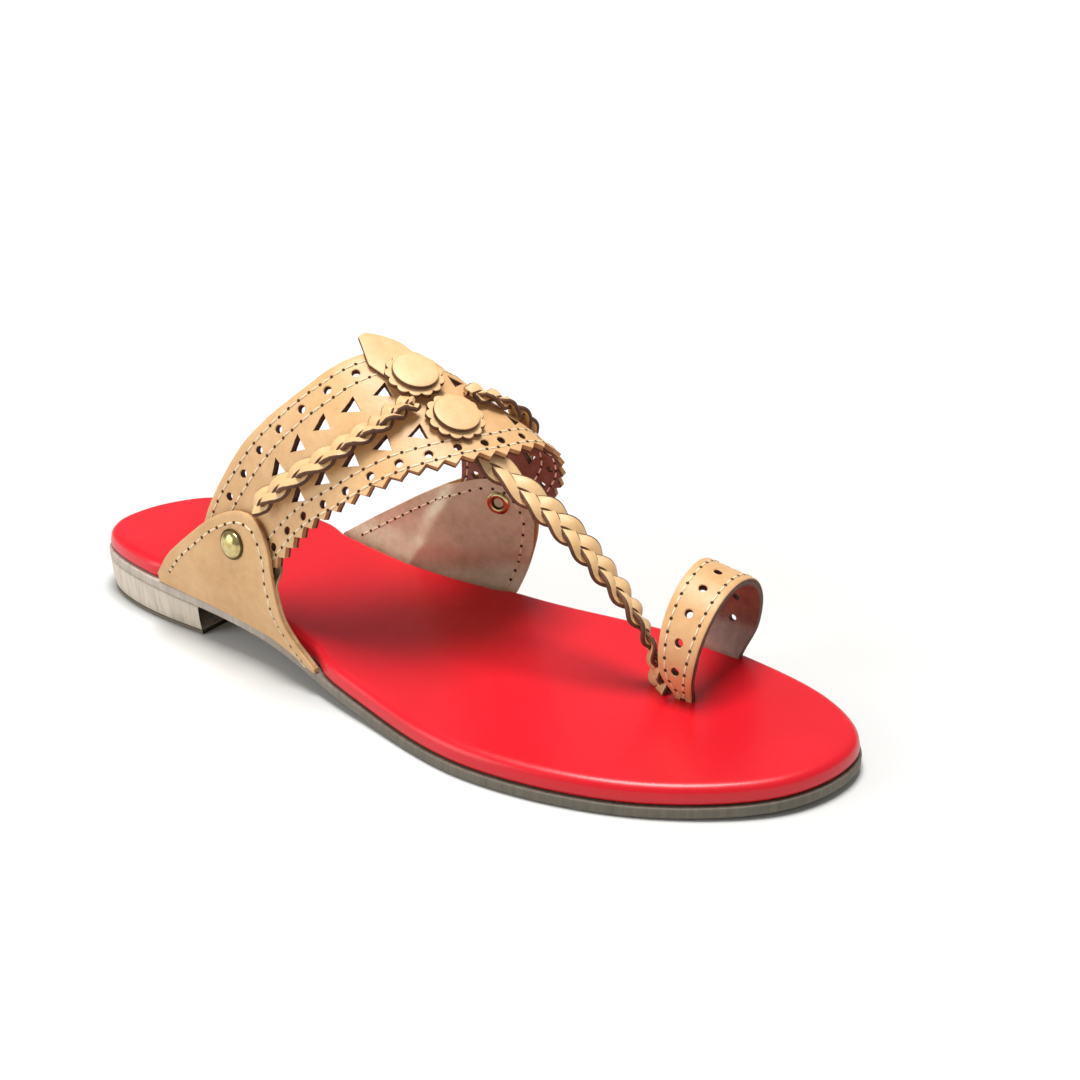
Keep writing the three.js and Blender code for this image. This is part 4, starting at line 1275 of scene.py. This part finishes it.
TAB_LIFT = 0.4
ROSETTES = {"rear": ((85, 0.335), TAB_LIFT + DISC_THICK + GAP), "front": ((83.5, 0.70), 0.5)}
for place, (spot, lift) in ROSETTES.items():
    point, _, _, face = band_frame(*spot)
    rosette = disc(f"rosette_{place}_scalloped", point + face * lift, face, scalloped,
                   SCALLOPS * SCALLOP_STEPS, 0.05)
    belongs(rosette, "upper_leather", f"rosette_{place}")
    button = disc(f"button_{place}_round", point + face * (lift + DISC_THICK + GAP), face,
                  plain_round, 64, 0.3)
    belongs(button, "upper_leather", f"button_{place}")

# %% The tab
TAB_ANGLE, TAB_TIP, TAB_SHOULDER, TAB_END = 86.5, 91.8, 100.0, 106.0
TAB_WIDTH, TAB_LENGTH, TAB_POINT = 14.0, 15.0, 0.16


def tab_place(x, y, z):
    """Flat tab to last: x from -0.5 to 0.5 across, y from 0 at the tip to 1 where it goes under."""
    foot_y = TAB_TIP + (TAB_END - TAB_TIP) * y
    opened = min((foot_y - TAB_TIP) / (TAB_SHOULDER - TAB_TIP), 1.0)
    opened = TAB_POINT + (1 - TAB_POINT) * (opened if x < 0 else 1 - (1 - opened) ** 1.5)
    rise = column(LAST, "crest", foot_y) - LAST_Z
    angle = TAB_ANGLE + math.degrees(x * TAB_WIDTH * opened / rise)
    point = last_point(angle, foot_y)
    ahead = last_point(angle, foot_y + 0.5) - last_point(angle, foot_y - 0.5)
    over = last_point(angle + 0.5, foot_y) - last_point(angle - 0.5, foot_y)
    return point + ahead.cross(over).normalized() * z


slab = flat_slab(TAB_WIDTH, TAB_LENGTH, TAB_LIFT, TAB_LIFT + DISC_THICK, 20, 18, 0.3)
tab = bend(slab, lambda x, y, z: tab_place(x / TAB_WIDTH - 0.5, y / TAB_LENGTH, z), "centre_tab_tongue",
           [tan_bright, raw_edge])
belongs(tab, "upper_leather", "centre_tab")

# %% [markdown]
# ## Toe ring
# A loop of doubled leather comes up between the first two toes, goes over the big toe and back into the
# sole. It is drawn by its rear and its front edge. Like the band it is cut flat first, with a row of
# round holes along its middle, and bent afterwards.

# %% The ring's shape
# x, y, z of the rear edge and of the front edge, from the middle foot over the toe
TOE_RING = [
    (-6.0, 193.4, 4.0, -5.8, 198.3, 4.0), (-5.4, 193.2, 9.0, -5.3, 198.4, 9.0),
    (-1.6, 190.2, 18.0, -1.4, 200.2, 18.0), (-3.4, 189.4, 29.5, -3.2, 201.5, 28.2),
    (-11.0, 189.4, 38.4, -10.8, 202.3, 36.2), (-21.5, 189.4, 41.8, -21.4, 202.5, 39.0),
    (-32.0, 188.2, 38.2, -32.0, 202.2, 35.9), (-39.6, 186.4, 29.2, -39.2, 201.2, 27.6),
    (-41.2, 184.6, 18.2, -40.6, 199.6, 17.3), (-37.6, 184.0, 9.0, -36.6, 197.2, 9.0),
    (-37.0, 184.2, 4.0, -36.2, 196.8, 4.0),
]
RING_LENGTH, RING_WIDTH, RING_LEATHER, RING_LINING = 110.0, 13.0, 1.35, 0.8
RING_HOLE_PITCH, RING_HOLE_RADIUS = 8.3, 1.2


def ring_frame(u, v):
    """A place on the toe ring's outer face, the ways along and across it, and the way out."""
    def at(s, t):
        row = spline(TOE_RING, s)
        return Vector(row[:3]).lerp(Vector(row[3:]), t)
    low, high = max(u - 0.005, 0), min(u + 0.005, 1)
    along = (at(high, v) - at(low, v)) / (high - low)
    across = at(u, 1) - at(u, 0)
    return at(u, v), along, across, across.cross(along).normalized()


def ring_place(x, y, z):
    """A place on the bench as a place on the ring."""
    point, _, _, out = ring_frame(x / RING_LENGTH, y / RING_WIDTH)
    return point + out * z


print("way out at the ring's top:", [round(c, 2) for c in ring_frame(0.5, 0.5)[3]])

# %% Ring leather and lining
ring_holes = walk(lambda u: ring_frame(u, 0.5)[0], 0.17, 0.86, RING_HOLE_PITCH, 3.9)
for layer, bottom, top, materials, slot, bevel in (
        ("leather", -RING_LEATHER, 0.0, [tan, raw_edge], "upper_leather", 0.35),
        ("lining", -RING_LEATHER - RING_LINING, -RING_LEATHER - 0.02, [brown_lining, raw_edge],
         "lining_leather", 0.1)):
    slab = flat_slab(RING_LENGTH, RING_WIDTH, bottom, top, 10, 90, bevel)
    tools = bmesh.new()
    for u in ring_holes:
        point, along, across, _ = ring_frame(u, 0.5)
        shape = [(RING_LENGTH * (u + dx / along.length), RING_WIDTH * (0.5 + dy / across.length))
                 for dx, dy in ring_of(RING_HOLE_RADIUS)]
        punch(tools, shape, bottom - 1, top)
    bmesh.ops.recalc_face_normals(tools, faces=tools.faces)
    piece = bend(cut_flat(slab, tools, "ring"), ring_place, f"toe_ring_{layer}", materials)
    belongs(piece, slot, *(["toe_ring"] if layer == "leather" else []))
print("toe ring holes:", len(ring_holes))

# %% [markdown]
# ## Stitching
# The seams are sewn by hand through awl holes about 3.8 mm apart. Seen from above a seam is a row of short
# pale dashes with a dark hole at each end. A dash is a stretched ball half sunk in the leather; a hole is
# not cut but a flat disc painted dark, painted shade for its depth. Each seam's stitches are joined in one
# mesh, and so are its holes.

# %% Stitch rows
STITCH_PITCH, STITCH_GAP, THREAD_RADIUS, THREAD_LIFT = 3.8, 1.2, 0.27, 0.04
AWL_RADIUS, AWL_DEPTH = 0.48, 0.12


def seam(name, frame_at, start, stop, pitch=STITCH_PITCH):
    """Sews along a curve. frame_at(t) gives a point on the leather and the way out of it."""
    settings = walk(lambda t: frame_at(t)[0], start, stop, pitch)
    threads, holes = bmesh.new(), bmesh.new()
    for here, there in zip(settings, settings[1:]):
        (a, out_a), b = frame_at(here), frame_at(there)[0]
        middle, out_mid = frame_at((here + there) / 2)
        along = (b - a).normalized()
        side = out_mid.cross(along).normalized()
        turn = Matrix((along, side, along.cross(side))).transposed().to_4x4()
        size = Matrix.Diagonal(((pitch - STITCH_GAP) / 2 * MM, THREAD_RADIUS * MM, THREAD_RADIUS * MM, 1))
        spot = Matrix.Translation(metres(middle + out_mid * THREAD_LIFT))
        bmesh.ops.create_uvsphere(threads, u_segments=8, v_segments=8, radius=1.0,
                                  matrix=spot @ turn @ size @ Matrix.Rotation(math.pi / 2, 4, "Y"))
        turn = Vector((0, 0, 1)).rotation_difference(out_a).to_matrix().to_4x4()
        bmesh.ops.create_cone(holes, cap_ends=True, segments=10, radius1=AWL_RADIUS * MM,
                              radius2=AWL_RADIUS * MM, depth=AWL_DEPTH * MM,
                              matrix=Matrix.Translation(metres(a)) @ turn)
    belongs(finish_mesh(threads, name + "_thread", [thread_yarn], sharp=80), "thread")
    belongs(finish_mesh(holes, name + "_awl_holes", [awl_dark], sharp=30), "upper_leather")


def band_seam(rows, ahead, out=0.0, way=1):
    """Beside a row of holes; way is -1 for stitches seen on the inside."""
    def frame_at(angle):
        point, _, _, normal = band_frame(*row_spot(rows, angle, ahead))
        return point + normal * out, normal * way
    return frame_at


def wing_seam(side, inset, outer=True):
    """Along a wing's edge, at an inset."""
    def frame_at(u):
        _, along, up, _ = wing_frame(side, u, 1.0)
        square = (up - along * (up.dot(along) / along.length_squared)).length
        point, _, _, out = wing_frame(side, u, 1.0 - inset / square)
        if outer:
            return point + out * (WING_SEAT + WING_THICK), out
        return point + out * (WING_SEAT - covers_band(point) * (WING_SEAT + UNDER_BAND)), -out
    return frame_at


def ring_seam(inset):
    """Round the ring, at an inset from its rear edge, or from its front edge if negative."""
    def frame_at(u):
        across = ring_frame(u, 0.5)[2].length
        share = inset / across if inset > 0 else 1 + inset / across
        point, _, _, out = ring_frame(u, share)
        return point, out
    return frame_at


WING_INSET, RING_INSET, RING_PITCH = 3.4, 2.2, 3.6
BAND_SEWN, LINING_SEWN, WING_SEWN, RING_SEWN = (38, 137), (80, 137), (0.1, 0.94), (0.1, 0.93)
for name, rows, ahead in (("rear_hem", REAR_HOLES, -2.7), ("rear_row", REAR_HOLES, 3.1),
                          ("front_row", FRONT_HOLES, -2.7), ("front_hem", FRONT_HOLES, 2.3)):
    seam("band_" + name, band_seam(rows, ahead), *BAND_SEWN)
    seam("band_lining_" + name, band_seam(rows, ahead, -OUTER_THICK - LINING_THICK, -1), *LINING_SEWN)
for side in ("lateral", "medial"):
    seam(f"wing_{side}_outside", wing_seam(side, WING_INSET), *WING_SEWN)
    seam(f"wing_{side}_inside", wing_seam(side, WING_INSET, outer=False), *WING_SEWN)
seam("toe_ring_rear", ring_seam(RING_INSET), *RING_SEWN, RING_PITCH)
seam("toe_ring_front", ring_seam(-RING_INSET), *RING_SEWN, RING_PITCH)

# %% [markdown]
# ## Floor and light
# A pale shooting table that is lit from below away from its middle, so the ground stays white to the
# edges of the picture and the sides of the sole stay dark. One large soft lamp straight above gives
# the light and the soft shadow, with a weak one at the side and an even white surround. The table
# stands a hair below the sole, so the two faces are never in one plane.

# %% Floor
GLOW_FROM, GLOW_FULL, GLOW_STRENGTH = 0.12, 0.6, 0.75
FLOOR_HALF, FLOOR_DROP = 4.0, 0.2
floor_paint, floor_shader = new_material("floor_opal_acrylic_lit_from_below")
floor_shader.inputs["Base Color"].default_value = colour("#D6D6D4")
floor_shader.inputs["Roughness"].default_value = 0.9
floor_shader.inputs["Emission Color"].default_value = colour("#FFFFFF")
here = add_node(floor_paint, "ShaderNodeTexCoord").outputs["Object"]
reach = add_node(floor_paint, "ShaderNodeVectorMath", {"Vector": here}, operation="LENGTH")
glow = add_node(floor_paint, "ShaderNodeMapRange", {"Value": reach.outputs["Value"]})
glow.inputs["From Min"].default_value, glow.inputs["From Max"].default_value = GLOW_FROM, GLOW_FULL
glow.inputs["To Min"].default_value, glow.inputs["To Max"].default_value = 0.0, GLOW_STRENGTH
floor_paint.node_tree.links.new(glow.outputs["Result"], floor_shader.inputs["Emission Strength"])
bm = bmesh.new()
bmesh.ops.create_grid(bm, x_segments=1, y_segments=1, size=FLOOR_HALF)
bmesh.ops.translate(bm, verts=bm.verts, vec=(0, 0, -FLOOR_DROP * MM))
floor = to_object(bm, "floor", [floor_paint])
print("floor is", 2 * FLOOR_HALF, "m wide")

# %% Light
SURROUND_STRENGTH = 0.32


def soft_lamp(name, place, aim, size, power):
    """A square lamp that looks at a point."""
    lamp = bpy.data.objects.new(name, bpy.data.lights.new(name, "AREA"))
    bpy.context.scene.collection.objects.link(lamp)
    lamp.data.size = size
    lamp.data.energy = power
    lamp.location = place
    lamp.rotation_mode = "QUATERNION"
    lamp.rotation_quaternion = (Vector(aim) - Vector(place)).to_track_quat("-Z", "Y")
    return lamp


soft_lamp("key_lamp", (0.0, 0.02, 0.95), (0, 0, 0.03), size=0.4, power=11.0)
soft_lamp("fill_lamp", (0.75, -0.55, 0.35), (0, -0.06, 0.03), size=0.6, power=3.6)
world = bpy.data.worlds.new("surround")
bpy.context.scene.world = world
world.use_nodes = True
world.node_tree.nodes["Background"].inputs["Color"].default_value = colour("#FFFFFF")
world.node_tree.nodes["Background"].inputs["Strength"].default_value = SURROUND_STRENGTH
bpy.context.scene.view_settings.view_transform = "Standard"
print("lamps:", [light.name for light in bpy.data.lights])
